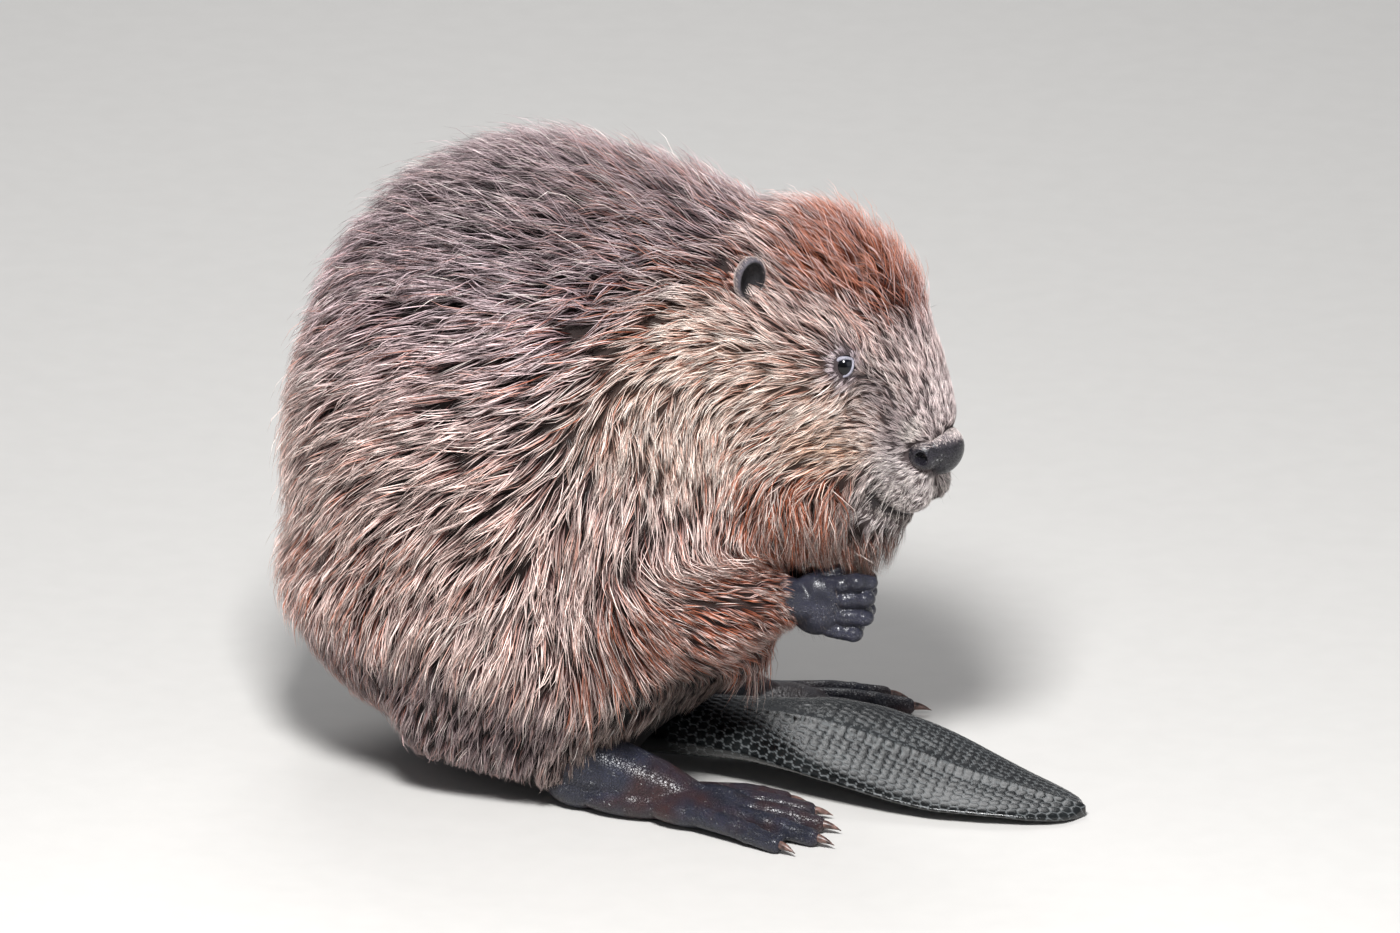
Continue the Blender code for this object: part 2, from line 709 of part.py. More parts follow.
def tail_blade():
    """The blade in two honeycombs, top and underside, that share their rim; the scales rise as plates."""
    bm = bmesh.new()
    rim, plates = {}, []
    for face in (1, -1):
        inner = {}
        for corners in honeycomb(SCALE, TAIL_END - TAIL_START, TAIL_HALF):
            ring, whole = [], True
            for x, u in corners:
                x, clipped = min(TAIL_END, max(TAIL_START, x + TAIL_START)), min(1, max(-1, u))
                at_tip = x == TAIL_END
                on_rim = at_tip or clipped != u
                known = rim if on_rim else inner
                key = "tip" if at_tip else (round(x, 5), round(clipped, 5))
                if key not in known:
                    known[key] = bm.verts.new(tail_point(x, clipped, 0 if on_rim else face))
                if known[key] not in ring:
                    ring.append(known[key])
                whole = whole and not on_rim and x > SCALES_FROM
            inside = any(TAIL_START < v.co.x and v not in rim.values() for v in ring)
            if len(ring) < 3 or not inside:
                continue
            made = bm.faces.new(ring if face > 0 else ring[::-1])
            if whole and face > 0:
                plates.append(made)
    bmesh.ops.holes_fill(bm, edges=[edge for edge in bm.edges if edge.is_boundary], sides=0)
    bmesh.ops.delete(bm, geom=[v for v in bm.verts if not v.link_faces], context="VERTS")
    bmesh.ops.recalc_face_normals(bm, faces=bm.faces)
    bmesh.ops.inset_individual(bm, faces=plates, thickness=SCALE_GROOVE, depth=SCALE_RISE)
    blade = mesh_object("tail", bm)
    boolean(blade, box((-1, -1, -1), (1, 1, 0)), "DIFFERENCE")
    return keep_largest(blade)


SOCKET_ROOM = 0.0016


def tail_socket():
    """Room for the blade's root, a little wider all round than the blade."""
    rings = []
    for x in (TAIL_START - GAP, 0.040, SCALES_FROM, 0.110):
        near, far, middle, depth = tail_section(x)
        section = superellipse(middle + depth, middle - depth, (far - near) / 2, 2.6, SOCKET_ROOM, 18)
        rings.append([Vector((x, (near + far) / 2 + y, z)) for y, z in section])
    return loft(rings, "socket")


# Face: eyes, lids, ears, nose and mouth, all placed in the head's axes


def on_head(obj, at=(0, 0, 0), turn=None):
    place = Matrix.Translation(Vector(at))
    if turn is not None:
        place = place @ turn
    obj.data.transform(HEAD @ place)
    return obj


def eye_centre(side):
    return Vector((EYE_AT.x, side * EYE_AT.y, EYE_AT.z))


def gaze(side):
    """Turns +Y to where the eye looks: out, a little forward and up."""
    aim = Vector((0.20, side * 0.97, 0.10)).normalized()
    return Vector((0, 1, 0)).rotation_difference(aim).to_matrix().to_4x4()


def eye(side):
    ball = blob((0, 0, 0), (EYEBALL, EYEBALL, EYEBALL), detail=2)
    return on_head(ball, eye_centre(side))


LID_RADIUS = 0.0076
LID_THICK, LID_STAND = 0.0024, 0.0030


def lids(side):
    """A soft ring round the eye, pointed a little at its two corners."""
    count, sections = 12, 4
    bm = bmesh.new()
    rings = []
    for i in range(count):
        angle = 2 * math.pi * i / count
        reach = Vector((LID_RADIUS * math.cos(angle) * 1.12, 0, LID_RADIUS * math.sin(angle) * 0.98))
        out = reach.normalized()
        ring = []
        for k in range(sections):
            turn = 2 * math.pi * k / sections
            drop = Vector((0, 1, 0)) * (LID_THICK * math.cos(turn) * 1.3)
            place = reach + Vector((0, LID_STAND, 0)) + out * (LID_THICK * math.sin(turn)) + drop
            ring.append(bm.verts.new(place))
        rings.append(ring)
    for i in range(count):
        here, there = rings[i], rings[(i + 1) % count]
        for k in range(sections):
            n = (k + 1) % sections
            bm.faces.new((here[k], here[n], there[n], there[k]))
    return on_head(mesh_object("lids", bm), eye_centre(side), gaze(side))


EAR_RADII = Vector((0.80, 1.15, 1.70)) * CM
EAR_DISH_RADII = Vector((1.70, 1.30, 1.60)) * CM
EAR_DISH_AHEAD = 1.2 * CM
EAR_HOLLOW = Vector((0.85, 0.88, 1.38)) * CM


def ear_opening(side):
    """Which way the ear opens: forward, out and a little up."""
    return Vector((0.80, side * 0.58, 0.15)).normalized()


def ear_dish(side):
    """The hollow in the fur in front of an ear."""
    centre = EAR_AT[side] + ear_opening(side) * EAR_DISH_AHEAD
    return on_head(blob((0, 0, 0), EAR_DISH_RADII, detail=2), centre)


def ear(side):
    """A small round cup."""
    opening = ear_opening(side)
    across = EAR_UP[side].cross(opening).normalized()
    turn = Matrix((opening, across, opening.cross(across))).transposed().to_4x4()
    shell = blob((0, 0, 0), EAR_RADII, detail=3)
    boolean(shell, blob((EAR_RADII.x * 0.62, 0, 0.001), EAR_HOLLOW, detail=3), "DIFFERENCE")
    thin = shell.modifiers.new("thin", "DECIMATE")
    thin.ratio = 0.25
    settle(shell)
    return on_head(shell, EAR_AT[side], turn)


NOSE_RADII = Vector((1.45, 1.50, 1.85)) * CM
NOSE_BRIDGE_AT = Vector((-0.30, 0.00, 0.20)) * CM
NOSE_BRIDGE_RADII = Vector((1.35, 2.05, 1.45)) * CM
NOSE_WING_AT = Vector((-0.65, 1.60, -0.25)) * CM
NOSE_WING_RADII = Vector((1.15, 1.00, 1.15)) * CM
NOSTRIL_AT = Vector((-0.45, 2.65, -0.20)) * CM
NOSTRIL_RADII = Vector((0.52, 0.95, 0.46)) * CM


def nose():
    """The bare pad with its two nostrils, and the wing that rises round each."""
    pieces = [blob((0, 0, 0), NOSE_RADII, detail=3), blob(NOSE_BRIDGE_AT, NOSE_BRIDGE_RADII, detail=3)]
    for side in (RIGHT, LEFT):
        x, y, z = NOSE_WING_AT
        pieces.append(blob((x, side * y, z), NOSE_WING_RADII, detail=3))
    pad = fuse("nose", pieces, 0.0012, 3, 260)
    for side in (RIGHT, LEFT):
        x, y, z = NOSTRIL_AT
        boolean(pad, blob((x, side * y, z), NOSTRIL_RADII, (0, 25, 0), detail=1), "DIFFERENCE")
    return on_head(keep_largest(pad), NOSE_AT)


MOUTH = ((6.2, 3.4, -7.6), (7.0, 3.1, -8.1), (7.9, 2.4, -8.6), (8.7, 1.3, -8.7), (9.1, 0.0, -8.4))
MOUTH_GROOVE = 0.0028


def mouth_cutter(surface):
    """A thin tube laid on the surface along the closed mouth, from corner to corner."""
    tree = BVHTree.FromObject(surface, bpy.context.evaluated_depsgraph_get())
    half = [Vector(point) * CM for point in MOUTH]
    other = [Vector((p.x, -p.y, p.z)) for p in half[-2::-1]]
    path = [tree.find_nearest(HEAD @ point)[0] for point in half + other]
    return tube(path, [MOUTH_GROOVE] * len(path), 6)


# The muzzle narrows beside each nostril
NOSTRIL_RECESS_AT = Vector((8.1, 3.0, -3.6)) * CM
NOSTRIL_RECESS_RADII = Vector((2.0, 1.25, 1.8)) * CM


def nostril_recess(side):
    x, y, z = NOSTRIL_RECESS_AT
    return on_head(blob((0, 0, 0), NOSTRIL_RECESS_RADII, detail=3), (x, side * y, z))


# Parting: each region is a closed shape, and what of the whole lies in it becomes a node


def swollen(obj, by=GAP):
    """A copy that stands out by a little all round, to cut a seat for the piece."""
    made = copy_of(obj, obj.name + "_seat")
    bm = bmesh.new()
    bm.from_mesh(made.data)
    bm.normal_update()
    moves = [(v, v.normal * (by * v.calc_shell_factor())) for v in bm.verts]
    for v, move in moves:
        v.co += move
    bm.to_mesh(made.data)
    bm.free()
    return made


def seat(host, piece):
    """Cuts room for the piece out of its host."""
    boolean(host, swollen(piece), "DIFFERENCE")
    return keep_largest(host)


def wrist_cutter(side, beyond):
    """A block with its face across the wrist: past it towards the hand, or behind it."""
    palm, arm_end = Vector(HAND_AT[side]), Vector(FOREARM[side][-1])
    axis = (palm - arm_end).normalized()
    half_block = 0.027
    shift = (half_block - GAP / 2) * (1 if beyond else -1)
    block = box((-half_block,) * 3, (half_block,) * 3)
    block.data.transform(Vector((1, 0, 0)).rotation_difference(axis).to_matrix().to_4x4())
    block.data.transform(Matrix.Translation(arm_end + axis * (WRIST_CUT + shift)))
    return block


def part_off(whole, region, name):
    """Splits off what lies in the region, and leaves a gap of a hair's width between the two."""
    piece = copy_of(whole, name)
    cutter = swollen(region)
    boolean(piece, region, "INTERSECT")
    boolean(whole, cutter, "DIFFERENCE")
    keep_largest(whole)
    return keep_largest(piece)


def wedge(outline, half_width, place=None):
    """A prism over an (x, z) outline, as wide to both sides."""
    rings = [[Vector((x, y, z)) for x, z in outline] for y in (-half_width, half_width)]
    made = loft(rings, "wedge")
    if place is not None:
        made.data.transform(place)
    return made


HEAD_OUTLINE = ((-0.103, 0.16), (0.16, 0.16), (0.16, -0.135), (0.020, -0.135), (-0.103, -0.075))
NECK_OUTLINE = ((0.040, 0.55), (0.35, 0.55), (0.35, 0.182), (0.140, 0.182), (0.085, 0.245))


def arm_region(side):
    room = 0.014
    pieces = limb(on_side(UPPER_ARM, side), [r + CORE + room for r in UPPER_ARM_RADII], 1)
    pieces += limb(FOREARM[side], [r + CORE + room for r in FOREARM_RADII], 1)
    return unite(pieces[0], pieces[1:])


def thigh_region(side):
    (x, y, z), radii, _ = THIGH
    base = blob((x, side * (y + 0.035), z - 0.015), [r + 0.026 for r in radii], detail=1)
    return unite(base, limb(on_side(SHANK, side), [r + 0.018 for r in SHANK_RADII], 1))


def tail_root_region():
    return rounded_cone((-0.095, 0, 0.040), 0.060, (0.040, -0.002, 0.040), 0.050, 1)


def place_on_origin(nodes):
    """Moves everything so that the footprint's centre is the origin."""
    points = [v.co for node in nodes for v in node.data.vertices]
    low = [min(p[i] for p in points) for i in range(2)]
    high = [max(p[i] for p in points) for i in range(2)]
    shift = Matrix.Translation((-(low[0] + high[0]) / 2, -(low[1] + high[1]) / 2, 0))
    for node in nodes:
        node.data.transform(shift)


def main():
    clear_scene()
    fur = material("beaver_fur", FUR_BROWN, 0.7)
    skin = material("bare_skin", SKIN_DARK, 0.5)

    trunk = fuse("trunk", body_masses(CORE), 0.006, 24)
    skull = fuse("skull", head_masses(HEAD_CORE), 0.003, 5)
    for side in (RIGHT, LEFT):
        boolean(skull, nostril_recess(side), "DIFFERENCE")
    whole = fuse("torso", [trunk, skull], 0.004, 3, BODY_TRIANGLES)
    for side in (RIGHT, LEFT):
        socket = blob((0, side * EYE_SOCKET_RADII.y, 0), EYE_SOCKET_RADII, detail=2)
        boolean(whole, on_head(socket, eye_centre(side)), "DIFFERENCE")
        boolean(whole, ear_dish(side), "DIFFERENCE")
    boolean(whole, mouth_cutter(whole), "DIFFERENCE")
    for side in (RIGHT, LEFT):
        boolean(whole, lids(side), "UNION")

    add_coat(whole)
    boolean(whole, box((-1, -1, -1), (1, 1, 0)), "DIFFERENCE")
    pad = nose()
    seat(whole, pad)
    boolean(whole, tail_socket(), "DIFFERENCE")
    bare = [tail_blade(), pad]
    for name, side in SIDES.items():
        ball, cup, paw, sole = eye(side), ear(side), hand(side), foot(side)
        for piece in (ball, cup, sole):
            seat(whole, piece)
        boolean(paw, wrist_cutter(side, beyond=False), "DIFFERENCE")
        boolean(whole, wrist_cutter(side, beyond=True), "DIFFERENCE")
        keep_largest(whole)
        for made, kind in ((ball, "eye"), (cup, "ear"), (paw, "hand"), (sole, "foot")):
            made.name = f"{kind}_{name}"
            bare.append(made)
        for host, claws in ((sole, claws_of(side)), (paw, fore_claws_of(side))):
            for number, made in enumerate(claws, 1):
                made.name = f"{host.name}_claw_{number}"
                seat(host, made)
                bare.append(made)

    furred = [part_off(whole, wedge(HEAD_OUTLINE, 0.16, HEAD), "head")]
    furred.append(part_off(whole, wedge(NECK_OUTLINE, 0.25), "neck"))
    for name, side in SIDES.items():
        furred.append(part_off(whole, arm_region(side), f"arm_{name}"))
        furred.append(part_off(whole, thigh_region(side), f"thigh_{name}"))
    furred.append(part_off(whole, tail_root_region(), "tail_root"))
    furred.append(whole)

    for nodes, look in ((furred, fur), (bare, skin)):
        for node in nodes:
            node.data.materials.clear()
            node.data.materials.append(look)
    place_on_origin(furred + bare)
    for node in furred + bare:
        print(node.name, len(node.data.polygons))


main()
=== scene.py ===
# %% [markdown]
# # A beaver on its haunches
#
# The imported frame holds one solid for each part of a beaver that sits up, holds its forepaws together and
# has its flat tail passed forward under its body. This lesson dresses that frame. One skin is laid just
# under the solids of flesh, a coat of many thin strands grows from it, and the bare parts, which are the
# nose, eyes, ears, hands, feet, claws and tail, are made again in finer detail.

import json
import math

import bmesh
import bpy
import numpy as np
from mathutils import Euler, Matrix, Vector
from mathutils.bvhtree import BVHTree

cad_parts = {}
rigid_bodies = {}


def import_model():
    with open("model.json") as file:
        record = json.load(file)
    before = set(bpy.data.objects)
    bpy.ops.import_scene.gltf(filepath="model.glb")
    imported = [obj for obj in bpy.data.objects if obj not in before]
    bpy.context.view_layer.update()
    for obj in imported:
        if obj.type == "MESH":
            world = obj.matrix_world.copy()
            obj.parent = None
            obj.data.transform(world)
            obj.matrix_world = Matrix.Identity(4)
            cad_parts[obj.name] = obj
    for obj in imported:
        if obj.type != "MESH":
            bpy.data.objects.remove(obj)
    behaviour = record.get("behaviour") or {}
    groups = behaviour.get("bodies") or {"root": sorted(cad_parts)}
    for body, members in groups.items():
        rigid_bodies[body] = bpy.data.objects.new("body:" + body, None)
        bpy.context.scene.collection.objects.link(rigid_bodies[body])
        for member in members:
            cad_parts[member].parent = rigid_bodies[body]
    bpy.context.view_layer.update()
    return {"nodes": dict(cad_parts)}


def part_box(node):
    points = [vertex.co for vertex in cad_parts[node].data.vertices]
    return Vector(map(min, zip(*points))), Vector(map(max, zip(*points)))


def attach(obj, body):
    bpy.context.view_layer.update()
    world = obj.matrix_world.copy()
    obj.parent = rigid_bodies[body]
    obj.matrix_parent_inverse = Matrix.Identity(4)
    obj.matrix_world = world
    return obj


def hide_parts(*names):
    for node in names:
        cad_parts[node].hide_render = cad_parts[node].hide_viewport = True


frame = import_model()
CM, MM = 0.01, 0.001
RIGHT, LEFT = BOTH = (-1, 1)
SIDES = {"right": RIGHT, "left": LEFT}
print("nodes in the frame:", len(frame["nodes"]))

# %% [markdown]
# A colour in this lesson is the sRGB hex value that the eye would pick. Blender's shaders count light
# linearly, so one function turns the one into the other. A second adds a node with its settings and its
# links, and materials then read as lists of what feeds what. The sizes of patterns are in millimetres on
# the animal.


# %% Colour and node helpers
def linear(hex_value):
    """The linear colour of an sRGB hex value such as #8c7880."""
    channels = [int(hex_value[i : i + 2], 16) / 255 for i in (1, 3, 5)]
    return tuple(c / 12.92 if c <= 0.04045 else ((c + 0.055) / 1.055) ** 2.4 for c in channels) + (1.0,)


def new_material(name):
    made = bpy.data.materials.new(name)
    made.use_nodes = True
    return made, made.node_tree, made.node_tree.nodes["Principled BSDF"]


def feed(tree, node, inputs):
    """Links another node's output to a socket, or sets a plain value or hex colour on it."""
    for name, value in inputs.items():
        if isinstance(value, bpy.types.NodeSocket):
            tree.links.new(value, node.inputs[name])
        else:
            node.inputs[name].default_value = linear(value) if isinstance(value, str) else value


def add(tree, kind, inputs=None, **settings):
    """Adds a shader node with its properties and its inputs."""
    node = tree.nodes.new("ShaderNode" + kind)
    for name, value in settings.items():
        setattr(node, name, value)
    feed(tree, node, inputs or {})
    return node


# %% [markdown]
# Most of what a finish needs is a sum, a range, a mix, a noise, a bump or a mask that the mesh carries, so
# each of these has a short name. A mix or a range of a constant is set on the socket itself.


# %% Short names for nodes
def calc(tree, operation, *values):
    return add(tree, "Math", dict(enumerate(values)), operation=operation).outputs[0]


def span(tree, value, low=0.0, high=1.0, to_low=0.0, to_high=1.0):
    """Stretches the range from low to high over another range, and stops at its ends."""
    ends = {"From Min": low, "From Max": high, "To Min": to_low, "To Max": to_high}
    return add(tree, "MapRange", {"Value": value, **ends}).outputs[0]


def mixed(tree, base, share, colour):
    """Mixes a colour into the base by a share."""
    return add(tree, "Mix", {"Factor": share, 6: base, 7: colour}, data_type="RGBA").outputs[2]


def own_place(tree):
    return add(tree, "TexCoord").outputs["Object"]


def noise(tree, size_mm, detail):
    """Cloudy noise whose largest features are so many millimetres wide."""
    place = {"Vector": own_place(tree), "Scale": 1 / (size_mm * MM)}
    return add(tree, "TexNoise", {**place, "Detail": detail}).outputs[0]


def shaded(tree, colour, value, saturation=1.0):
    return add(tree, "HueSaturation", {"Color": colour, "Value": value, "Saturation": saturation}).outputs[0]


def bumped(tree, height, strength, depth_mm):
    return add(tree, "Bump", {"Height": height, "Strength": strength, "Distance": depth_mm * MM}).outputs[0]


def channels(tree, name):
    """The three colours and the alpha of a point attribute."""
    read = add(tree, "Attribute", attribute_name=name)
    return [*add(tree, "SeparateColor", {"Color": read.outputs["Color"]}).outputs, read.outputs["Alpha"]]


# %% [markdown]
# The animal is laid out round the point on the floor under its middle, with X the way its body faces and
# Y its left side. The head has axes of its own: x forward from between the eyes, y to its left, z up. The
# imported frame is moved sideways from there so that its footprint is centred, and the left eye's solid says
# by how much.

# %% Body axes and head axes
HEAD_YAW, HEAD_PITCH = math.radians(-13), math.radians(29)
HEAD_TURN = Matrix.Rotation(HEAD_YAW, 4, "Z") @ Matrix.Rotation(HEAD_PITCH, 4, "Y")
EYE_MIDPOINT = Vector((0.2085, -0.008, 0.329))
HEAD = Matrix.Translation(EYE_MIDPOINT) @ HEAD_TURN
EYE_AT = Vector((0.15, 5.0, 0.3)) * CM
NOSE_AT = Vector((8.25, 0.0, -3.3)) * CM


def flip(point, side):
    """A point of the left side, on either side."""
    return Vector((point.x, side * point.y, point.z))


low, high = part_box("eye_left")
SHIFT = (low + high) / 2 - HEAD @ EYE_AT
print("frame is shifted by", [round(v, 4) for v in SHIFT])

# %% [markdown]
# ## Camera
# The photograph looks at the animal's right side from a little in front and from above. A long lens is
# used, because the outlines of body, tail and feet agree with one scale of 1400 pixels to the metre.

# %% Camera
PHOTO_WIDTH, PHOTO_HEIGHT = 1400, 933
PIXELS_PER_METRE = 1400
ORIGIN_PIXEL = (590, 757)
AZIMUTH, ELEVATION = 14, 19
CAMERA_DISTANCE, SENSOR, FAR_CLIP = 18.0, 36.0, 60


def outward(azimuth, elevation):
    """The way from the animal to a camera or lamp, by degrees from its right side and above the floor."""
    a, e = math.radians(azimuth), math.radians(elevation)
    return Vector((math.sin(a) * math.cos(e), -math.cos(a) * math.cos(e), math.sin(e)))


def placed(name, data):
    """A new object with this data, linked to the scene."""
    obj = bpy.data.objects.new(name, data)
    bpy.context.scene.collection.objects.link(obj)
    return obj


def look_from(obj, out, place):
    obj.location = place
    obj.rotation_mode = "QUATERNION"
    obj.rotation_quaternion = out.to_track_quat("Z", "Y")


right = outward(AZIMUTH + 90, 0)
back = outward(AZIMUTH, ELEVATION)
look_at = SHIFT + right * ((PHOTO_WIDTH / 2 - ORIGIN_PIXEL[0]) / PIXELS_PER_METRE)
look_at = look_at + back.cross(right) * ((ORIGIN_PIXEL[1] - PHOTO_HEIGHT / 2) / PIXELS_PER_METRE)
camera_data = bpy.data.cameras.new("camera")
camera_data.sensor_width, camera_data.clip_end = SENSOR, FAR_CLIP
camera_data.lens = SENSOR * CAMERA_DISTANCE * PIXELS_PER_METRE / PHOTO_WIDTH
camera = placed("camera", camera_data)
look_from(camera, back, look_at + back * CAMERA_DISTANCE)
bpy.context.scene.camera = camera
print("lens", round(camera_data.lens), "mm")

# %% [markdown]
# ## Small makers of form
# A body of flesh has no flat faces and no seams. It is built as an anatomist would, from overlapping
# masses: ellipsoids for the trunk and thighs, rounded cones for limbs. A voxel remesh melts them into one
# closed surface, and a little smoothing settles the creases.


# %% Mesh helpers
def mesh_object(name, bm):
    bmesh.ops.recalc_face_normals(bm, faces=bm.faces)
    mesh = bpy.data.meshes.new(name)
    bm.to_mesh(mesh)
    bm.free()
    return placed(name, mesh)


def settle(obj):
    """Applies an object's modifiers."""
    bpy.context.view_layer.update()
    old = obj.data
    obj.data = bpy.data.meshes.new_from_object(obj.evaluated_get(bpy.context.evaluated_depsgraph_get()))
    obj.modifiers.clear()
    bpy.data.meshes.remove(old)
    return obj


def blob(centre, radii, turn=(0, 0, 0), detail=5):
    """An ellipsoid, turned by degrees."""
    bm = bmesh.new()
    bmesh.ops.create_icosphere(bm, subdivisions=detail, radius=1)
    spin = Euler([math.radians(a) for a in turn]).to_matrix().to_4x4()
    form = Matrix.Translation(centre) @ spin @ Matrix.Diagonal((*radii, 1))
    bmesh.ops.transform(bm, matrix=form, verts=bm.verts)
    return mesh_object("blob", bm)


def rounded_cone(start, start_radius, end, end_radius):
    """The hull of two balls."""
    bm = bmesh.new()
    for centre, radius in ((start, start_radius), (end, end_radius)):
        place = Matrix.Translation(Vector(centre))
        bmesh.ops.create_icosphere(bm, subdivisions=4, radius=radius, matrix=place)
    bmesh.ops.delete(bm, geom=bm.edges[:], context="EDGES_FACES")
    hull = bmesh.ops.convex_hull(bm, input=bm.verts)
    bmesh.ops.delete(bm, geom=hull["geom_interior"], context="VERTS")
    return mesh_object("rounded_cone", bm)


def limb(points, radii):
    return [rounded_cone(a, ra, b, rb) for a, ra, b, rb in zip(points, radii, points[1:], radii[1:])]


def loft(rings, name="loft"):
    """A closed skin over rings of as many points each, with flat ends."""
    bm = bmesh.new()
    levels = [[bm.verts.new(p) for p in ring] for ring in rings]
    count = len(levels[0])
    for lower, upper in zip(levels, levels[1:]):
        for i in range(count):
            j = (i + 1) % count
            bm.faces.new((lower[i], lower[j], upper[j], upper[i]))
    bm.faces.new(levels[0])
    bm.faces.new(reversed(levels[-1]))
    return mesh_object(name, bm)


# %% [markdown]
# Cutting, melting and levelling are modifiers, applied at once, so that each form stays a plain mesh and
# the next step works on what the last one made.


# %% Cutting and melting
def cut_away(obj, other):
    cut = obj.modifiers.new("cut", "BOOLEAN")
    cut.operation, cut.solver, cut.object = "DIFFERENCE", "MANIFOLD", other
    settle(obj)
    bpy.data.objects.remove(other)
    return obj


def fuse(name, pieces, voxel, rounds):
    """Melts overlapping solids into one smooth body."""
    bm = bmesh.new()
    for piece in pieces:
        bm.from_mesh(piece.data)
        bpy.data.objects.remove(piece)
    obj = mesh_object(name, bm)
    remesh = obj.modifiers.new("remesh", "REMESH")
    remesh.mode, remesh.voxel_size, remesh.use_smooth_shade = "VOXEL", voxel, True
    soften = obj.modifiers.new("soften", "SMOOTH")
    soften.factor, soften.iterations = 0.5, rounds
    return settle(obj)


def flat_below(obj):
    """Cuts off whatever reaches below the floor."""
    bm = bmesh.new()
    bmesh.ops.create_cube(bm, size=2, matrix=Matrix.Translation((0, 0, -1)))
    return cut_away(obj, mesh_object("floor_cut", bm))


def smooth_shaded(obj):
    obj.data.shade_smooth()
    return obj


# %% [markdown]
# ## The skin
# The skin lies inside the solids by the depth of the dense underfur, 10 mm on the body and 6 mm or less
# on the head, so the strands have room to rise from it and still end where the solids do. Sections along
# the head give skull, muzzle and jaw; more masses add cheeks, brows, lips, chin and a low mound under
# each eye. Hollows leave room for the eyes and narrow the muzzle beside the nostrils.

# %% Head masses
# In centimetres from the eyes: forward, top, bottom, half width, and how square the section is
HEAD_STATIONS = (
    (-12.0, 3.4, -8.6, 6.2, 2.0),
    (-9.5, 4.8, -9.8, 6.9, 2.0),
    (-6.5, 5.6, -10.2, 6.7, 2.0),
    (-3.5, 5.8, -10.3, 6.1, 2.0),
    (-1.0, 5.4, -10.3, 5.3, 2.0),
    (1.5, 4.4, -10.3, 4.6, 2.1),
    (4.0, 2.6, -10.2, 4.0, 2.2),
    (6.2, 0.9, -10.0, 3.1, 2.1),
    (7.4, -0.2, -9.8, 2.3, 2.0),
    (8.6, -3.6, -9.0, 1.7, 2.0),
)
SECTION_POINTS = 64
# Centre and radii in centimetres in the head's axes, one on each side unless it is in the middle
HEAD_MASSES = {
    "cheek": ((-2.0, 4.6, -5.2), (4.6, 2.4, 3.8)),
    "brow": ((-0.6, 3.2, 1.5), (2.4, 1.7, 1.2)),
    "lip": ((7.1, 1.45, -6.6), (2.6, 1.55, 1.9)),
    "orbit": ((0.1, 3.95, 0.2), (2.3, 1.05, 1.9)),
    "chin": ((6.4, 0.0, -9.6), (2.4, 1.9, 1.3)),
}
NOSTRIL_RECESS = (Vector((8.1, 3.0, -3.6)) * CM, Vector((2.0, 1.25, 1.8)) * CM)
SOCKET = (EYE_AT + Vector((-0.15, 0.85, 0)) * CM, Vector((1.60, 0.95, 1.25)) * CM)


def superellipse(top, bottom, half_width, power):
    middle, half_height = (top + bottom) / 2, (top - bottom) / 2
    points = []
    for i in range(SECTION_POINTS):
        c, s = math.cos(2 * math.pi * i / SECTION_POINTS), math.sin(2 * math.pi * i / SECTION_POINTS)
        y = math.copysign(abs(c) ** (2 / power), c) * half_width
        points.append((y, middle + math.copysign(abs(s) ** (2 / power), s) * half_height))
    return points


def on_head(obj, at=(0, 0, 0), turn=Matrix.Identity(4)):
    obj.data.transform(HEAD @ Matrix.Translation(at) @ turn)
    return obj


def head_masses():
    rings = []
    for x, top, bottom, half, power in HEAD_STATIONS:
        rings.append([HEAD @ (Vector((x, y, z)) * CM) for y, z in superellipse(top, bottom, half, power)])
    masses = [loft(rings)]
    for centre, radii in HEAD_MASSES.values():
        for side in BOTH if centre[1] else (LEFT,):
            masses.append(on_head(blob((0, 0, 0), [r * CM for r in radii]), flip(Vector(centre) * CM, side)))
    return masses


# %% [markdown]
# The trunk is one great barrel with the rump, belly, chest and shoulders on it. Neck, throat, tail root,
# shanks and arms are chains of rounded cones, each between two points with a radius at either end. The
# left arm reaches further across, because the hands meet in front of the throat.

# %% Body masses
# Centre, radii and turn in degrees, in metres
BODY_MASSES = {
    "barrel": ((-0.030, 0, 0.226), (0.180, 0.148, 0.221)),
    "rump": ((-0.062, 0, 0.135), (0.152, 0.142, 0.112)),
    "belly": ((0.035, 0, 0.135), (0.108, 0.112, 0.080)),
    "chest": ((0.066, -0.002, 0.225), (0.088, 0.098, 0.115)),
    "shoulders": ((0.040, 0, 0.300), (0.110, 0.118, 0.112), (0, 10, 0)),
    "seat": ((-0.040, 0, 0.045), (0.105, 0.075, 0.052)),
    "left thigh": ((-0.020, 0.088, 0.120), (0.110, 0.066, 0.082)),
    "right thigh": ((-0.020, -0.088, 0.120), (0.110, 0.066, 0.082)),
}
THROAT = [(0.090, -0.002, 0.250), (0.165, -0.008, 0.262), (0.172, -0.008, 0.233), (0.196, -0.012, 0.222)]
MIDDLE_LIMBS = (
    ([(0.020, 0, 0.335), (0.085, -0.002, 0.330), (0.150, -0.006, 0.318)], [0.104, 0.090, 0.078]),
    (THROAT, [0.082, 0.068, 0.046, 0.040]),
    ([(-0.080, 0, 0.060), (-0.010, -0.001, 0.046), (0.030, -0.002, 0.041)], [0.050, 0.036, 0.026]),
)
SHANK = [(-0.085, 0.098, 0.062), (-0.010, 0.098, 0.046), (0.030, 0.099, 0.036)]
UPPER_ARM = [(0.050, 0.084, 0.250), (0.052, 0.108, 0.165)]
FOREARM = {
    RIGHT: [(0.052, -0.110, 0.158), (0.105, -0.083, 0.146), (0.150, -0.047, 0.147)],
    LEFT: [(0.052, 0.110, 0.158), (0.100, 0.076, 0.140), (0.140, 0.013, 0.139)],
}
SHANK_RADII, UPPER_ARM_RADII, FOREARM_RADII = [0.032, 0.030, 0.022], [0.050, 0.038], [0.036, 0.031, 0.020]


def on_side(points, side):
    return [(x, side * y, z) for x, y, z in points]


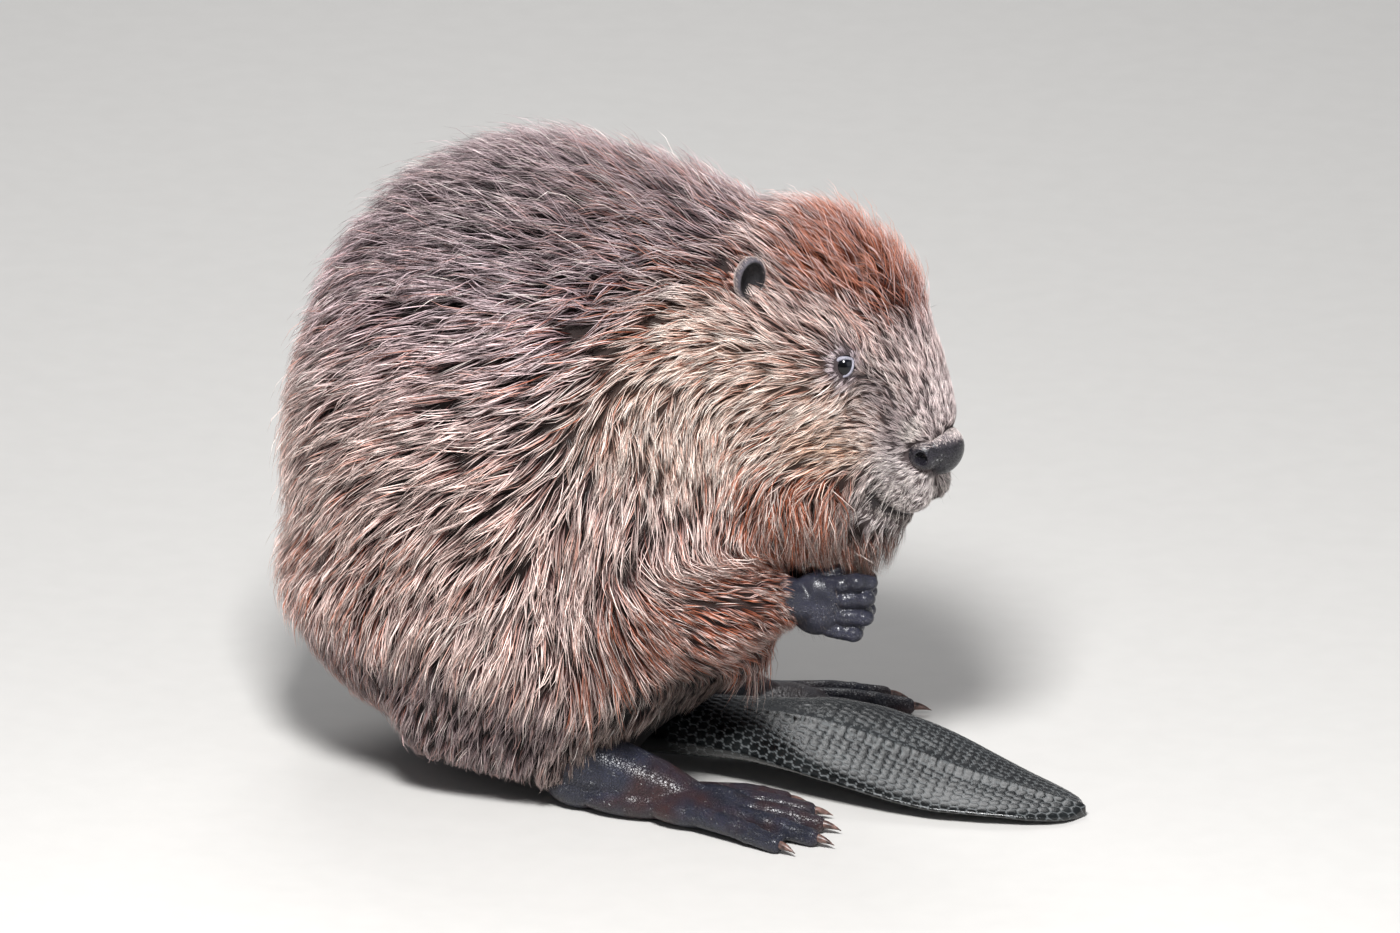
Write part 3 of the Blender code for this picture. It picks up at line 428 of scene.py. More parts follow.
def body_masses():
    masses = [blob(*form) for form in BODY_MASSES.values()]
    for points, radii in MIDDLE_LIMBS:
        masses += limb(points, radii)
    for side in BOTH:
        masses += limb(on_side(SHANK, side), SHANK_RADII)
        masses += limb(on_side(UPPER_ARM, side), UPPER_ARM_RADII)
        masses += limb(FOREARM[side], FOREARM_RADII)
    return masses


# %% [markdown]
# Trunk and skull are melted first, each as coarsely as its forms allow, and then both together. So the
# neck has no seam, and the face keeps its small hollows.

# %% One skin
BODY_VOXEL, HEAD_VOXEL = 6 * MM, 3 * MM
SKIN_VOXEL = 3.2 * MM

trunk = fuse("trunk", body_masses(), BODY_VOXEL, 24)
skull = fuse("skull", head_masses(), HEAD_VOXEL, 4)
for centre, radii in (NOSTRIL_RECESS, SOCKET):
    for side in BOTH:
        cut_away(skull, on_head(blob((0, 0, 0), radii), flip(centre, side)))
skin = flat_below(fuse("skin", [trunk, skull], SKIN_VOXEL, 4))
print("skin faces:", len(skin.data.polygons))

# %% [markdown]
# The mouth is shut, so it is one fine crease from corner to corner. Its path is laid on the skin, and a
# tube along it is cut away to a depth of two millimetres.

# %% Mouth crease
MOUTH = ((6.2, 3.4, -7.6), (7.0, 3.1, -8.1), (7.9, 2.4, -8.6), (8.7, 1.3, -8.7), (9.1, 0.0, -8.4))
MOUTH_DEPTH = 2.0 * MM


def tube(points, radii, sides):
    rings = []
    for i, point in enumerate(points):
        axis = (points[min(i + 1, len(points) - 1)] - points[max(i - 1, 0)]).normalized()
        across = axis.cross(Vector((0, 0, 1))).normalized()
        over = across.cross(axis)
        turns = [2 * math.pi * (k + 0.5) / sides for k in range(sides)]
        spokes = [across * math.cos(turn) + over * math.sin(turn) for turn in turns]
        rings.append([point + radii[i] * spoke for spoke in spokes])
    return smooth_shaded(loft(rings, "tube"))


def tree_of(obj):
    """Finds the nearest point of a surface."""
    return BVHTree.FromObject(obj, bpy.context.evaluated_depsgraph_get())


half = [Vector(point) * CM for point in MOUTH]
tree = tree_of(skin)
mouth_path = [tree.find_nearest(HEAD @ p)[0] for p in half + [flip(p, RIGHT) for p in half[-2::-1]]]
cut_away(skin, tube(mouth_path, [MOUTH_DEPTH] * len(mouth_path), 8))
mouth_path = [HEAD.inverted() @ point / CM for point in mouth_path]
smooth_shaded(skin)
print("mouth:", len(mouth_path), "points")

# %% [markdown]
# Every strand will take its colour from the place where it grows, so the skin is unwrapped once, by its
# own shape, and each strand later gets a small patch of that map.

# %% Unwrap the skin
UNWRAP = "OFBake"
SEAM_ANGLE, ISLAND_GAP = math.radians(66), 0.002


def unwrap(obj):
    obj.data.uv_layers.new(name=UNWRAP)
    bpy.context.view_layer.objects.active = obj
    obj.select_set(True)
    bpy.ops.object.mode_set(mode="EDIT")
    bpy.ops.mesh.select_all(action="SELECT")
    bpy.ops.uv.smart_project(angle_limit=SEAM_ANGLE, island_margin=ISLAND_GAP)
    bpy.ops.object.mode_set(mode="OBJECT")
    obj.select_set(False)


for other in bpy.data.objects:
    other.select_set(False)
unwrap(skin)
print("skin unwrapped:", len(skin.data.uv_layers))

# %% [markdown]
# ## Where the coat changes
# A beaver's coat isn't one colour or one length. Each zone of it is a soft mask, and masks need places to
# measure by: how far forward and how high on the body, the same on the head, the distance from eyes, ears,
# mouth, wrists and ankles, and the height above the skirt, which is the edge where the long coat ends
# over the short hair of haunch and groin, dark partly by its own colour and partly by painted shade.

# %% Places on the body
# In centimetres in the head's axes. The tear line is a dark streak from the eye's front corner to the nose
TEAR_LINE = ((1.3, 4.7, 0.4), (3.0, 3.9, -0.4), (4.7, 3.0, -1.5), (5.6, 2.8, -2.6))
CHEEK_SPOT, NOSTRIL_SPOT = (2.0, 4.8, -5.2), (6.6, 2.4, -2.2)
# In metres
ANKLE_SPOT = (0.045, 0.100, 0.030)
SKIRT_X = (-0.150, -0.046, 0.030, 0.045, 0.064, 0.104, 0.140)
SKIRT_Z = (0.118, 0.104, 0.080, 0.096, 0.104, 0.086, 0.058)
# The right ear is pricked, the left one laid back
EAR_AT = {RIGHT: Vector((-8.3, -7.5, 2.8)) * CM, LEFT: Vector((-8.8, 7.3, 1.6)) * CM}


def ramp(low, high, value):
    """From 0 at low to 1 at high, or the other way round, without corners."""
    share = np.clip((value - low) / (high - low), 0, 1)
    return share * share * (3 - 2 * share)


def in_head(points):
    """Points in the head's axes, in centimetres."""
    inverse = np.array(HEAD.inverted())
    return (points @ inverse[:3, :3].T + inverse[:3, 3]) / CM


def to_path(points, path):
    best = np.full(len(points), 1e9)
    for a, b in zip(path, path[1:]):
        a, b = np.array(a), np.array(b)
        along = np.clip((points - a) @ (b - a) / ((b - a) @ (b - a)), 0, 1)
        best = np.minimum(best, np.linalg.norm(points - (a + along[:, None] * (b - a)), axis=1))
    return best


def to_any(points, centres):
    return np.min([np.linalg.norm(points - np.array(centre), axis=1) for centre in centres], axis=0)


def to_spots(points, spot):
    """Distance to the nearer of a spot and its mirror image."""
    return to_any(points, [flip(Vector(spot), s) for s in BOTH])


# %% [markdown]
# Everything that a mask may read is measured once for a set of points, and each measure has a name.


# %% Measured places
def measures(points):
    h = in_head(points)
    x, _, z = points.T
    return {
        "x": x,
        "z": z,
        "above skirt": z - np.interp(x, SKIRT_X, SKIRT_Z),
        "to forearm": np.minimum(*[to_path(points, FOREARM[s]) for s in BOTH]),
        "to wrist": to_any(points, [FOREARM[s][-1] for s in BOTH]),
        "to ankle": to_spots(points, ANKLE_SPOT),
        "head x": h[:, 0],
        "head z": h[:, 2],
        "to mouth": to_path(h, mouth_path),
        "to tear": np.minimum(*[to_path(h, [flip(Vector(p), s) for p in TEAR_LINE]) for s in BOTH]),
        "to cheek": to_spots(h, CHEEK_SPOT),
        "to nostril": to_spots(h, NOSTRIL_SPOT),
        "to eye": to_spots(h, EYE_AT / CM),
        "to ear": to_any(h, [place / CM for place in EAR_AT.values()]),
    }


# %% [markdown]
# The crown is erect and rust red, cheeks and throat are golden and rusty, the muzzle is pale grey and
# short, the back is grey brown, and the belly, chin and the hair by the feet are nearly black, partly
# their own colour and partly painted shade under the body and the jaw. A zone is a product of a few
# ramps, so its edges are soft and one zone can leave another out.

# %% Zones of the coat
# (place, where it is none, where it is full, least) is a ramp over a measured place, a number is a
# strength, and a word is another zone, after a minus all but that zone.
ZONES = {
    "head": (("head x", -13, -8), ("head z", -14, -10.5)),
    "bridge": (("head x", 0.5, 3.6), ("head z", -7.5, -5.0), "head"),
    "blaze": ("bridge", ("head z", -5.0, -3.0)),
    "muzzle": (("head x", 4.0, 6.4), ("head z", -10.6, -9.6), "head"),
    "pale": ("muzzle", ("head z", -2.0, -4.5, 0.45)),
    "chin": (("head x", 2.5, 4.5), ("head z", -9.2, -10.6), ("head z", -13, -11)),
    "lip": (("to mouth", 1.20, 0.45),),
    "tear": (("to tear", 1.5, 0.35),),
    "tan": (0.62, ("to cheek", 4.2, 1.0)),
    "cream": (0.8, ("to nostril", 1.1, 0.4)),
    "crown": (("head x", -11, -5), ("head z", 2.0, 4.8), "-muzzle"),
    "cheek": (("head x", -15, -9), ("head z", 2.0, -1.5), ("head z", -13, -9), "-muzzle"),
    "eye": (("to eye", 1.9, 0.9),),
    "parting": (("to eye", 3.6, 0.8),),
    "ear": (("to ear", 3.2, 1.4),),
    "throat": (("x", 0.10, 0.15), ("z", 0.275, 0.240), ("z", 0.165, 0.19)),
    "beard": (("x", 0.125, 0.165), ("z", 0.262, 0.235), ("z", 0.150, 0.175), "-muzzle"),
    "breast": (("x", 0.085, 0.16), "-head"),
    "nape": (("x", -0.02, 0.05), ("z", 0.24, 0.32), "-head"),
    "back": (("z", 0.25, 0.42), "-head"),
    "spine": (("z", 0.34, 0.43), "-head"),
    "rump": (("x", -0.06, -0.16), ("z", 0.28, 0.14)),
    "forearm": (("to forearm", 0.064, 0.036), ("x", 0.030, 0.090)),
    "wrist": (("to wrist", 0.060, 0.015),),
    "ankle": (("to ankle", 0.075, 0.030),),
    "under": (("x", 0.025, 0.050), ("above skirt", 0.028, 0.006), "-ankle"),
    "hem": (("x", 0.050, 0.025), ("above skirt", 0.028, 0.006), "-ankle"),
    "fringe": (("x", 0.0, 0.05), ("above skirt", 0.018, 0.034), ("above skirt", 0.095, 0.065), "-forearm"),
}


def zones(points):
    """For each zone, a mask from 0 to 1 over the points."""
    places, made = measures(points), {}
    for name, factors in ZONES.items():
        made[name] = np.ones(len(points))
        for factor in factors:
            if isinstance(factor, tuple):
                place, none, full, *least = factor
                share = ramp(none, full, places[place])
                share = share + (1 - share) * least[0] if least else share
            elif isinstance(factor, str):
                share = 1 - made[factor[1:]] if factor.startswith("-") else made[factor]
            else:
                share = factor
            made[name] = made[name] * share
    return made


def weigh(made, weights, start=0.0):
    """Adds up zones, each by its weight."""
    return start + sum(weight * made[name] for name, weight in weights.items())


print("zones:", len(ZONES))

# %% [markdown]
# ## The lie of the coat
# Hair grows backward over the head, nearly level along the back and ever steeper towards the floor, parts
# round the eye, and runs along each forearm to the wrist. The direction at a point is blended from these
# and then pressed into the surface. A slow swirl keeps it from looking combed.

# %% Direction of the hair
# Body: how far below the level the hair points, by height above the floor
FALL_HEIGHTS = (0.05, 0.10, 0.18, 0.25, 0.33, 0.40, 0.45)
FALL_DEGREES = (85, 78, 60, 40, 22, 12, 5)
# Head: the same, below the line from nose to nape, by height in the head's axes in centimetres
CHEEK_HEIGHTS = (-10, -8, -5, -2, 0, 2, 4)
CHEEK_DEGREES = (92, 76, 58, 44, 22, -6, -24)
# Where hair hangs straight: which way
BREAST_FALL, ARM_FALL = (-0.10, 0.0, -1.0), (0.05, 0.0, -1.0)
BEARD_FALL, CHIN_FALL = (0.25, 0.0, -1.0), (0.30, 0.0, -1.0)
SWEEP_OUT, EYE_PARTING, ARM_SHARE, WRIST_SAG = 0.16, 0.7, 0.8, (0, 0, -0.45)
SWIRLS_PER_METRE, SWIRL = 22, 0.13


def unit(vectors):
    return vectors / np.maximum(np.linalg.norm(vectors, axis=1, keepdims=True), 1e-9)


def blend(a, b, share):
    return a * (1 - share[:, None]) + np.asarray(b) * share[:, None]


def lie(points, normals):
    """Unit vectors along the surface, from root to tip."""
    made, h, turn = zones(points), in_head(points), np.array(HEAD.to_3x3())
    drop = np.radians(np.interp(points[:, 2], FALL_HEIGHTS, FALL_DEGREES))
    way = np.stack([-np.cos(drop), np.zeros(len(points)), -np.sin(drop)], axis=1)
    way = blend(way, BREAST_FALL, made["breast"])
    slope = np.radians(np.interp(h[:, 2], CHEEK_HEIGHTS, CHEEK_DEGREES))
    swept = np.stack([-np.cos(slope), SWEEP_OUT * np.clip(h[:, 1], -1, 1), -np.sin(slope)], axis=1)
    from_nose = unit(h - np.array(NOSE_AT) / CM - np.array((0.8, 0, 0)))
    swept = unit(blend(swept, from_nose, ramp(-0.5, 4.5, h[:, 0])))
    way = blend(way, swept @ turn.T, made["head"])
    way = blend(blend(way, BEARD_FALL, made["beard"]), CHIN_FALL, made["chin"])
    for s in BOTH:
        from_eye = unit(h - np.array(flip(EYE_AT, s)) / CM)
        way = way + EYE_PARTING * (made["parting"] * (h[:, 1] * s > 0))[:, None] * (from_eye @ turn.T)
    for s in BOTH:
        way = blend(way, ARM_FALL, ARM_SHARE * ramp(0.095, 0.045, to_path(points, on_side(UPPER_ARM, s))))
    for s in BOTH:
        axis = unit((np.array(FOREARM[s][-1]) - np.array(FOREARM[s][0]))[None])
        way = blend(way, axis + np.array(WRIST_SAG), made["forearm"] * (points[:, 1] * s > -0.02))
    x, y, z = (points * SWIRLS_PER_METRE).T
    swirl = np.stack([np.sin(y + 1.3 * z), np.sin(1.7 * z + 0.8 * x), np.sin(1.2 * x + y)], axis=1)
    way = unit(way) + SWIRL * swirl
    return unit(way - normals * np.sum(way * normals, axis=1, keepdims=True))


# %% [markdown]
# ## The coat
# A beaver's guard hairs are stiff, glossy and 40 to 60 mm long on the back. Damp ones cling into pointed
# locks. Hair curves would be lost in the export, so each strand is a real, three-sided, tapered piece of
# mesh. Real guard hairs are under 0.2 mm thick, too fine to show or to count, so a strand of 0.9 mm stands
# for a few of them. A lock is a handful of strands whose roots are spread and whose tips draw together.

# %% Sizes of the coat
SEED = 11
# Each growth: locks, strands in a lock, rings along a strand, and how far it spreads and stands
SHARE = 1.0
LONG_GROWTH = {"locks": int(8700 * SHARE), "strands": 7, "rings": 4, "spread": 1.0, "stand": 1.0}
SHORT_GROWTH = {"locks": int(7500 * SHARE), "strands": 6, "rings": 3, "spread": 1.0, "stand": 1.0}
STRAY_GROWTH = {"locks": int(4200 * SHARE), "strands": 1, "rings": 4, "spread": 0.3, "stand": 1.35}
STRAND_WIDTH, LOCK_SPREAD = 0.89 * MM, 4.8 * MM
# Length in metres, lift in metres, which is how far the tip stands off the skin, and relative width: for
# the body, and then for each zone over those before it
BODY_COAT = (0.046, 0.0180, 1.0)
COAT = {
    "spine": (0.041, 0.0255, 0.70),
    "head": (0.027, 0.0110, 0.56),
    "throat": (0.033, 0.0150, 0.72),
    "beard": (0.029, 0.0140, 0.60),
    "crown": (0.031, 0.0230, 0.58),
    "bridge": (0.017, 0.0042, 0.42),
    "forearm": (0.024, 0.0075, 0.66),
    "fringe": (0.047, 0.0215, 0.66),
    "hem": (0.024, 0.0085, 0.70),
    "under": (0.017, 0.0060, 0.70),
    "ankle": (0.018, 0.0060, 0.62),
    "wrist": (0.013, 0.0040, 0.50),
    "tear": (0.0150, 0.0050, 0.46),
    "muzzle": (0.0105, 0.0021, 0.36),
    "chin": (0.0170, 0.0065, 0.46),
    "lip": (0.0042, 0.0010, 0.34),
    "ear": (0.012, 0.0045, 0.50),
    "eye": (0.0085, 0.0014, 0.42),
}


def coat_sizes(points):
    """Length, lift and relative width for each root."""
    made = zones(points)
    sizes = [np.full(len(points), size) for size in BODY_COAT]
    for name, goals in COAT.items():
        sizes = [size * (1 - made[name]) + goal * made[name] for size, goal in zip(sizes, goals)]
    return sizes


print("kinds of hair:", 1 + len(COAT))

# %% [markdown]
# Roots are drawn at random over the skin by area, more of them where the hair is short, and none where
# the skin is bare: on the nose, inside the lids, under the body and inside the solids of hand, foot and
# tail. A beaver's nose pad has a swollen wing round each nostril, and they are left bare too.

# %% Roots
# In centimetres: the bare radii of the nose, and bare skin round the eye and along the mouth
NOSE_BARE, EYE_BARE, MOUTH_BARE = (1.42, 1.52, 1.82), 0.82, 0.34
# The wing round each nostril: centre from the nose's own, and radii
NOSE_WING = (Vector((-0.65, 1.60, -0.25)) * CM, Vector((1.15, 1.00, 1.15)) * CM)
# In metres: the height of the bare sole and seat, how far a hand's solid reaches up the wrist, and the
# tail's solid, from here forward, so wide and so high
BARE_BELOW, WRIST_BARE, TAIL_BARE = 0.020, 0.012, (0.02, 0.060, 0.062)
# Extra cover where the skin would shine through, and the length at which short growth becomes long
EXTRA_COVER = {"bridge": 0.9, "eye": 1.2, "parting": 0.5}
SHORT_TO_LONG = (0.020, 0.032)


def read(items, key, width, kind=float):
    values = np.empty(len(items) * width, kind)
    items.foreach_get(key, values)
    return values.reshape(-1, width)


def skin_arrays(obj):
    """Corner positions, normals and map places of a surface's triangles."""
    mesh = obj.data
    mesh.calc_loop_triangles()
    corners, loops = (read(mesh.loop_triangles, key, 3, np.int64) for key in ("vertices", "loops"))
    points, normals = (read(mesh.vertices, key, 3) for key in ("co", "normal"))
    return points[corners], normals[corners], read(mesh.uv_layers[UNWRAP].uv, "vector", 2)[loops]


def bare(points, normals):
    """True where no hair grows."""
    h = in_head(points)
    x, y, z = points.T
    forward, wide, tall = TAIL_BARE
    none = (z < BARE_BELOW) | (normals[:, 2] < -0.93)
    none |= (x > forward) & (np.abs(y) < wide) & (z < tall)
    none |= np.linalg.norm((h - np.array(NOSE_AT) / CM) / np.array(NOSE_BARE), axis=1) < 1
    none |= to_path(h, mouth_path) < MOUTH_BARE
    none |= to_spots(h, EYE_AT / CM) < EYE_BARE
    none |= to_any(points, [FOREARM[s][-1] for s in BOTH]) < WRIST_BARE
    for s in BOTH:
        wing = np.array(NOSE_AT + flip(NOSE_WING[0], s)) / CM
        none |= np.linalg.norm((h - wing) / (np.array(NOSE_WING[1]) / CM - 0.05), axis=1) < 1
    return none


# %% [markdown]
# A triangle is picked by its area and density and a root is placed at random in it. Long and short growth
# share the skin between them, so that the cover is alike everywhere.


# %% Drawing roots
def draw_roots(obj, count, rng, density):
    corners, normals, places = skin_arrays(obj)
    edges = np.cross(corners[:, 1] - corners[:, 0], corners[:, 2] - corners[:, 0])
    area = np.linalg.norm(edges, axis=1) / 2
    weight = area * density(corners.mean(1), unit(normals.mean(1)))
    picked = rng.choice(len(area), count, p=weight / weight.sum())
    a, b = np.sort(rng.random((2, count)), axis=0)
    shares = np.stack([a, b - a, 1 - b], axis=1)[:, :, None]
    root, normal, place = ((values[picked] * shares).sum(1) for values in (corners, normals, places))
    return root, unit(normal), place


def coat_density(points, normals, long):
    """How many strands of long or short growth cover a patch of skin alike everywhere."""
    length, _, width = coat_sizes(points)
    cover = BODY_COAT[0] / length / width * weigh(zones(points), EXTRA_COVER, 1.0)
    share = ramp(*SHORT_TO_LONG, length)
    return cover * (share if long else 1 - share) * ~bare(points, normals)


def long_density(points, normals):
    return coat_density(points, normals, True)


def short_density(points, normals):
    return coat_density(points, normals, False)


# %% [markdown]
# Each lock follows the skin: it steps along the lie, drops to the nearest point of the skin, and steps
# again. It strays a little from the lie and curls, as damp locks do, most where the coat is unruly.

# %% Lock paths
STRAY_ANGLE, CURL_ANGLE = math.radians(9), math.radians(9)
LOOSE = {"beard": 1.2, "crown": 0.7, "throat": 0.5, "spine": 0.9, "fringe": 0.6}


def lock_paths(tree, roots, normals, lengths, rings, rng):
    """For each lock, its points on the skin, the normals there and the way on."""
    points, ups, ways = [roots], [normals], []
    loose = weigh(zones(roots), LOOSE, 1.0)
    angle = rng.normal(0, STRAY_ANGLE, len(roots)) * loose
    curl = rng.normal(0, CURL_ANGLE, len(roots)) * loose
    for ring in range(rings):
        way = lie(points[-1], ups[-1])
        turned = angle + curl * (ring - 1)
        way = way * np.cos(turned)[:, None] + np.cross(ups[-1], way) * np.sin(turned)[:, None]
        ways.append(way)
        if ring < rings - 1:
            step = points[-1] + way * (lengths / (rings - 1))[:, None]
            hits = [tree.find_nearest(Vector(p)) for p in step]
            points.append(np.array([hit[0][:] for hit in hits]))
            ups.append(unit(np.array([hit[1][:] for hit in hits]) + ups[-1]))
    return np.stack(points, 1), np.stack(ups, 1), np.stack(ways, 1)


# %% [markdown]
# Strands fan out from the lock's path at the root and close on it at the tip. Each rises from the skin in
# a curve, more or less high, so that upper hairs shade the lower ones. Where hair hangs clear of the body,
# under the jaw and along the belly, its tips sink or the whole strand leaves the skin and falls straight.

# %% Strands
# Scatter of the strands, as shares: from and to, or the spread of a bell curve
LENGTH_SCATTER, LIFT_SCATTER, REACH_SCATTER = (0.78, 1.16), (0.72, 1.05), (0.72, 1.10)
CLOSE_SCATTER, SWAY_SCATTER, GIRTH_SCATTER = (0.30, 0.90), (0.6, 1.6), (0.65, 1.25)
FAN, WAVE = 0.55, 0.30
# The least spread of a lock, the curve of the rise, the lowest strand's height and what the highest adds
LEAST_SPREAD, RISE_CURVE, LOWEST, UPPER = 0.36, 1.8, 0.48, 0.55
ROOT_DEPTH, FLOOR_ROOM = 0.8 * MM, 0.6 * MM
# In metres: how far tips sink in each zone. The share of a straight fall in the fringe, and which way
HANG, HANG_CURVE = {"beard": 0.020, "forearm": 0.006, "chin": 0.006}, 1.7
DRAPE, FREE_FALL = 0.85, unit(np.array([(0.30, 0.0, -1.0)]))
# Half width along a strand, by its number of rings
TAPER = {4: (0.8, 1.0, 0.66, 0.0), 3: (0.9, 0.85, 0.0)}


def grow(growth, surface, density, sizes, rng):
    """Positions, half widths, frames and tags of every strand of one growth."""
    rings, strands = growth["rings"], growth["strands"]
    roots, normals, places = draw_roots(surface, growth["locks"], rng, density)
    length, lift, width = sizes(roots)
    count = len(roots)
    length = length * rng.uniform(*LENGTH_SCATTER, count)
    lift = lift * rng.uniform(*LIFT_SCATTER, count) * growth["stand"]
    path, ups, ways = lock_paths(tree_of(surface), roots, normals, length, rings, rng)
    across = np.cross(ups, ways)
    spread = LOCK_SPREAD * growth["spread"] * np.clip(length / BODY_COAT[0], LEAST_SPREAD, 1)
    spread = spread[:, None, None, None]
    fan = rng.normal(0, FAN, (count, strands, 2))
    share = np.linspace(0, 1, rings)[None, None, :, None]
    reach = rng.uniform(*REACH_SCATTER, (count, strands, 1, 1))
    close = 1 - rng.uniform(*CLOSE_SCATTER, (count, 1, 1, 1)) * share
    wave = rng.normal(0, WAVE, (count, strands, 2))
    sway = np.sin(share * math.pi * rng.uniform(*SWAY_SCATTER, (count, strands, 1, 1)))
    sideways = (fan[:, :, None, :1] * close + wave[:, :, None, :1] * sway) * spread
    along = fan[:, :, None, 1:] * spread * close
    centre = path[:, None] + across[:, None] * sideways + ways[:, None] * along
    centre = centre + ways[:, None] * ((reach - 1) * share * length[:, None, None, None])
    upper = rng.random((count, strands))
    rise = 1 - (1 - share) ** RISE_CURVE
    height = lift[:, None, None, None] * rise * (LOWEST + UPPER * upper[:, :, None, None])
    centre = centre + ups[:, None] * (height - ROOT_DEPTH * (1 - share))
    made = zones(roots)
    straight = roots[:, None] + FREE_FALL * (length[:, None] * share[0, 0].T)[..., None]
    centre = centre + (DRAPE * made["fringe"])[:, None, None, None] * (straight - path)[:, None]
    hang = weigh(made, HANG) * np.clip(0.7 - normals[:, 2], 0, 1)
    centre[..., 2] -= hang[:, None, None] * (share**HANG_CURVE)[..., 0]
    centre[..., 2] = np.maximum(centre[..., 2], FLOOR_ROOM - SHIFT.z)
    girth = STRAND_WIDTH * width[:, None] * rng.uniform(*GIRTH_SCATTER, (count, strands))
    # The first tag is the strand's height, which the finish turns into painted shade and light
    tags = [upper, np.repeat(rng.random((count, 1)), strands, 1), rng.random((count, strands))]
    return {
        "centre": centre.reshape(-1, rings, 3),
        "across": np.repeat(across[:, None], strands, 1).reshape(-1, rings, 3),
        "up": np.repeat(ups[:, None], strands, 1).reshape(-1, rings, 3),
        "half": (girth[:, :, None] * TAPER[rings] / 2).reshape(-1, rings),
        "tags": np.stack(tags, axis=2).reshape(-1, 3),
        "root": np.repeat(roots, strands, 0),
        "place": np.repeat(places, strands, 0),
    }


rng = np.random.default_rng(SEED)
KINDS = ((LONG_GROWTH, long_density), (SHORT_GROWTH, short_density), (STRAY_GROWTH, long_density))
growths = [grow(growth, skin, density, coat_sizes, rng) for growth, density in KINDS]
print("strands:", [len(growth["centre"]) for growth in growths])

# %% [markdown]
# A strand's colour comes from the zones of its root. A die for each strand makes it one colour or the
# other, so rust hairs stand among grey ones as they do on the animal, and a few pale ones catch the eye.

# %% Colour masks
# How much of each colour a zone brings
RUST = {"crown": 0.62, "throat": 0.58, "forearm": 0.42, "ear": 0.45, "nape": 0.16, "rump": 0.18}
RUST = {**RUST, "cheek": 0.10, "bridge": -0.25, "fringe": 0.40, "spine": -0.10}
# Under the body, at the hem, by the ankles and under the chin this dark is partly the hair's own colour and
# partly painted shade
DARK_AND_SHADE = {"under": 1.0, "bridge": 0.12, "fringe": 0.30, "ankle": 0.9, "hem": 0.50, "tear": 0.75}
# Along the mouth the dark is painted shadow in the crease of the lips, on the hair and on the skin
DARK_AND_SHADE = {**DARK_AND_SHADE, "chin": 0.50, "lip": 0.8, "crown": 0.22, "spine": 0.55}
BACK = {"back": 1.0, "crown": 0.5, "hem": 0.7}
GREY = {"eye": 1.0, "blaze": 0.42}
FAIR = {"throat": 0.10, "cheek": 0.08, "crown": -0.10}
RUST_ANYWHERE, MOST_RUST, FAIR_ANYWHERE, FAIRNESS = 0.09, 0.85, 0.06, 0.8


def zone_colours(points, dice=None):
    """Masks in two colour attributes: rust, gold, pale, dark, which also carries painted shade; then back,
    grey, cream, tan.
    """
    made = zones(points)
    rust = np.clip(weigh(made, RUST, RUST_ANYWHERE), 0, MOST_RUST)
    rust = rust * (1 - 0.9 * made["muzzle"]) * (1 - 0.6 * made["tear"])
    gold = np.clip(made["cheek"] * (1 - made["throat"] * 0.6) + 0.1 * made["bridge"], 0, 1)
    dark, back, grey = (np.clip(weigh(made, weights), 0, 1) for weights in (DARK_AND_SHADE, BACK, GREY))
    cream = made["cream"]
    if dice is not None:
        rust = ramp(-0.26, 0.26, rust - dice)
        dark = np.clip(dark * (0.6 + 0.7 * dice), 0, 1)
        other = np.mod(dice * 7.31, 1)
        fair = weigh(made, FAIR, FAIR_ANYWHERE) * (1 - made["tear"])
        cream = np.maximum(cream, FAIRNESS * ramp(-0.04, 0.04, fair - other))
    return np.stack([rust, gold, made["pale"], dark], 1), np.stack([back, grey, cream, made["tan"]], 1)


def set_attribute(mesh, name, values):
    layer = mesh.color_attributes.new(name=name, type="FLOAT_COLOR", domain="POINT")
    layer.data.foreach_set("color", values.astype(np.float32).ravel())


def points_of(obj):
    return read(obj.data.vertices, "co", 3)


for name, masks in zip(("zone", "zone_more"), zone_colours(points_of(skin))):
    set_attribute(skin.data, name, masks)
print("masks on the skin:", len(skin.data.color_attributes))

# %% [markdown]
# The strands become joined meshes, a slice of the body from tail to nose in each. A strand has two or
# three rings of three points, and its tip. It carries what its material needs: how far along it a point
# is, its height among the strands of its lock, which the finish turns into painted shade and light, a
# random tag of its lock, and the masks of its root. Its patch of the map lies at its root's place.

# %% Strands to mesh
PATCH = 0.003
COAT_PIECES = 9


def strand_faces(rings):
    """Triangles of one strand: three sides between rings, then the point."""
    faces = []
    for ring in range(rings - 2):
        for k in range(3):
            a, b = 3 * ring + k, 3 * ring + (k + 1) % 3
            faces += [(a, b, b + 3), (a, b + 3, a + 3)]
    first = 3 * (rings - 2)
    faces += [(first + k, first + (k + 1) % 3, first + 3) for k in range(3)]
    return np.array(faces)


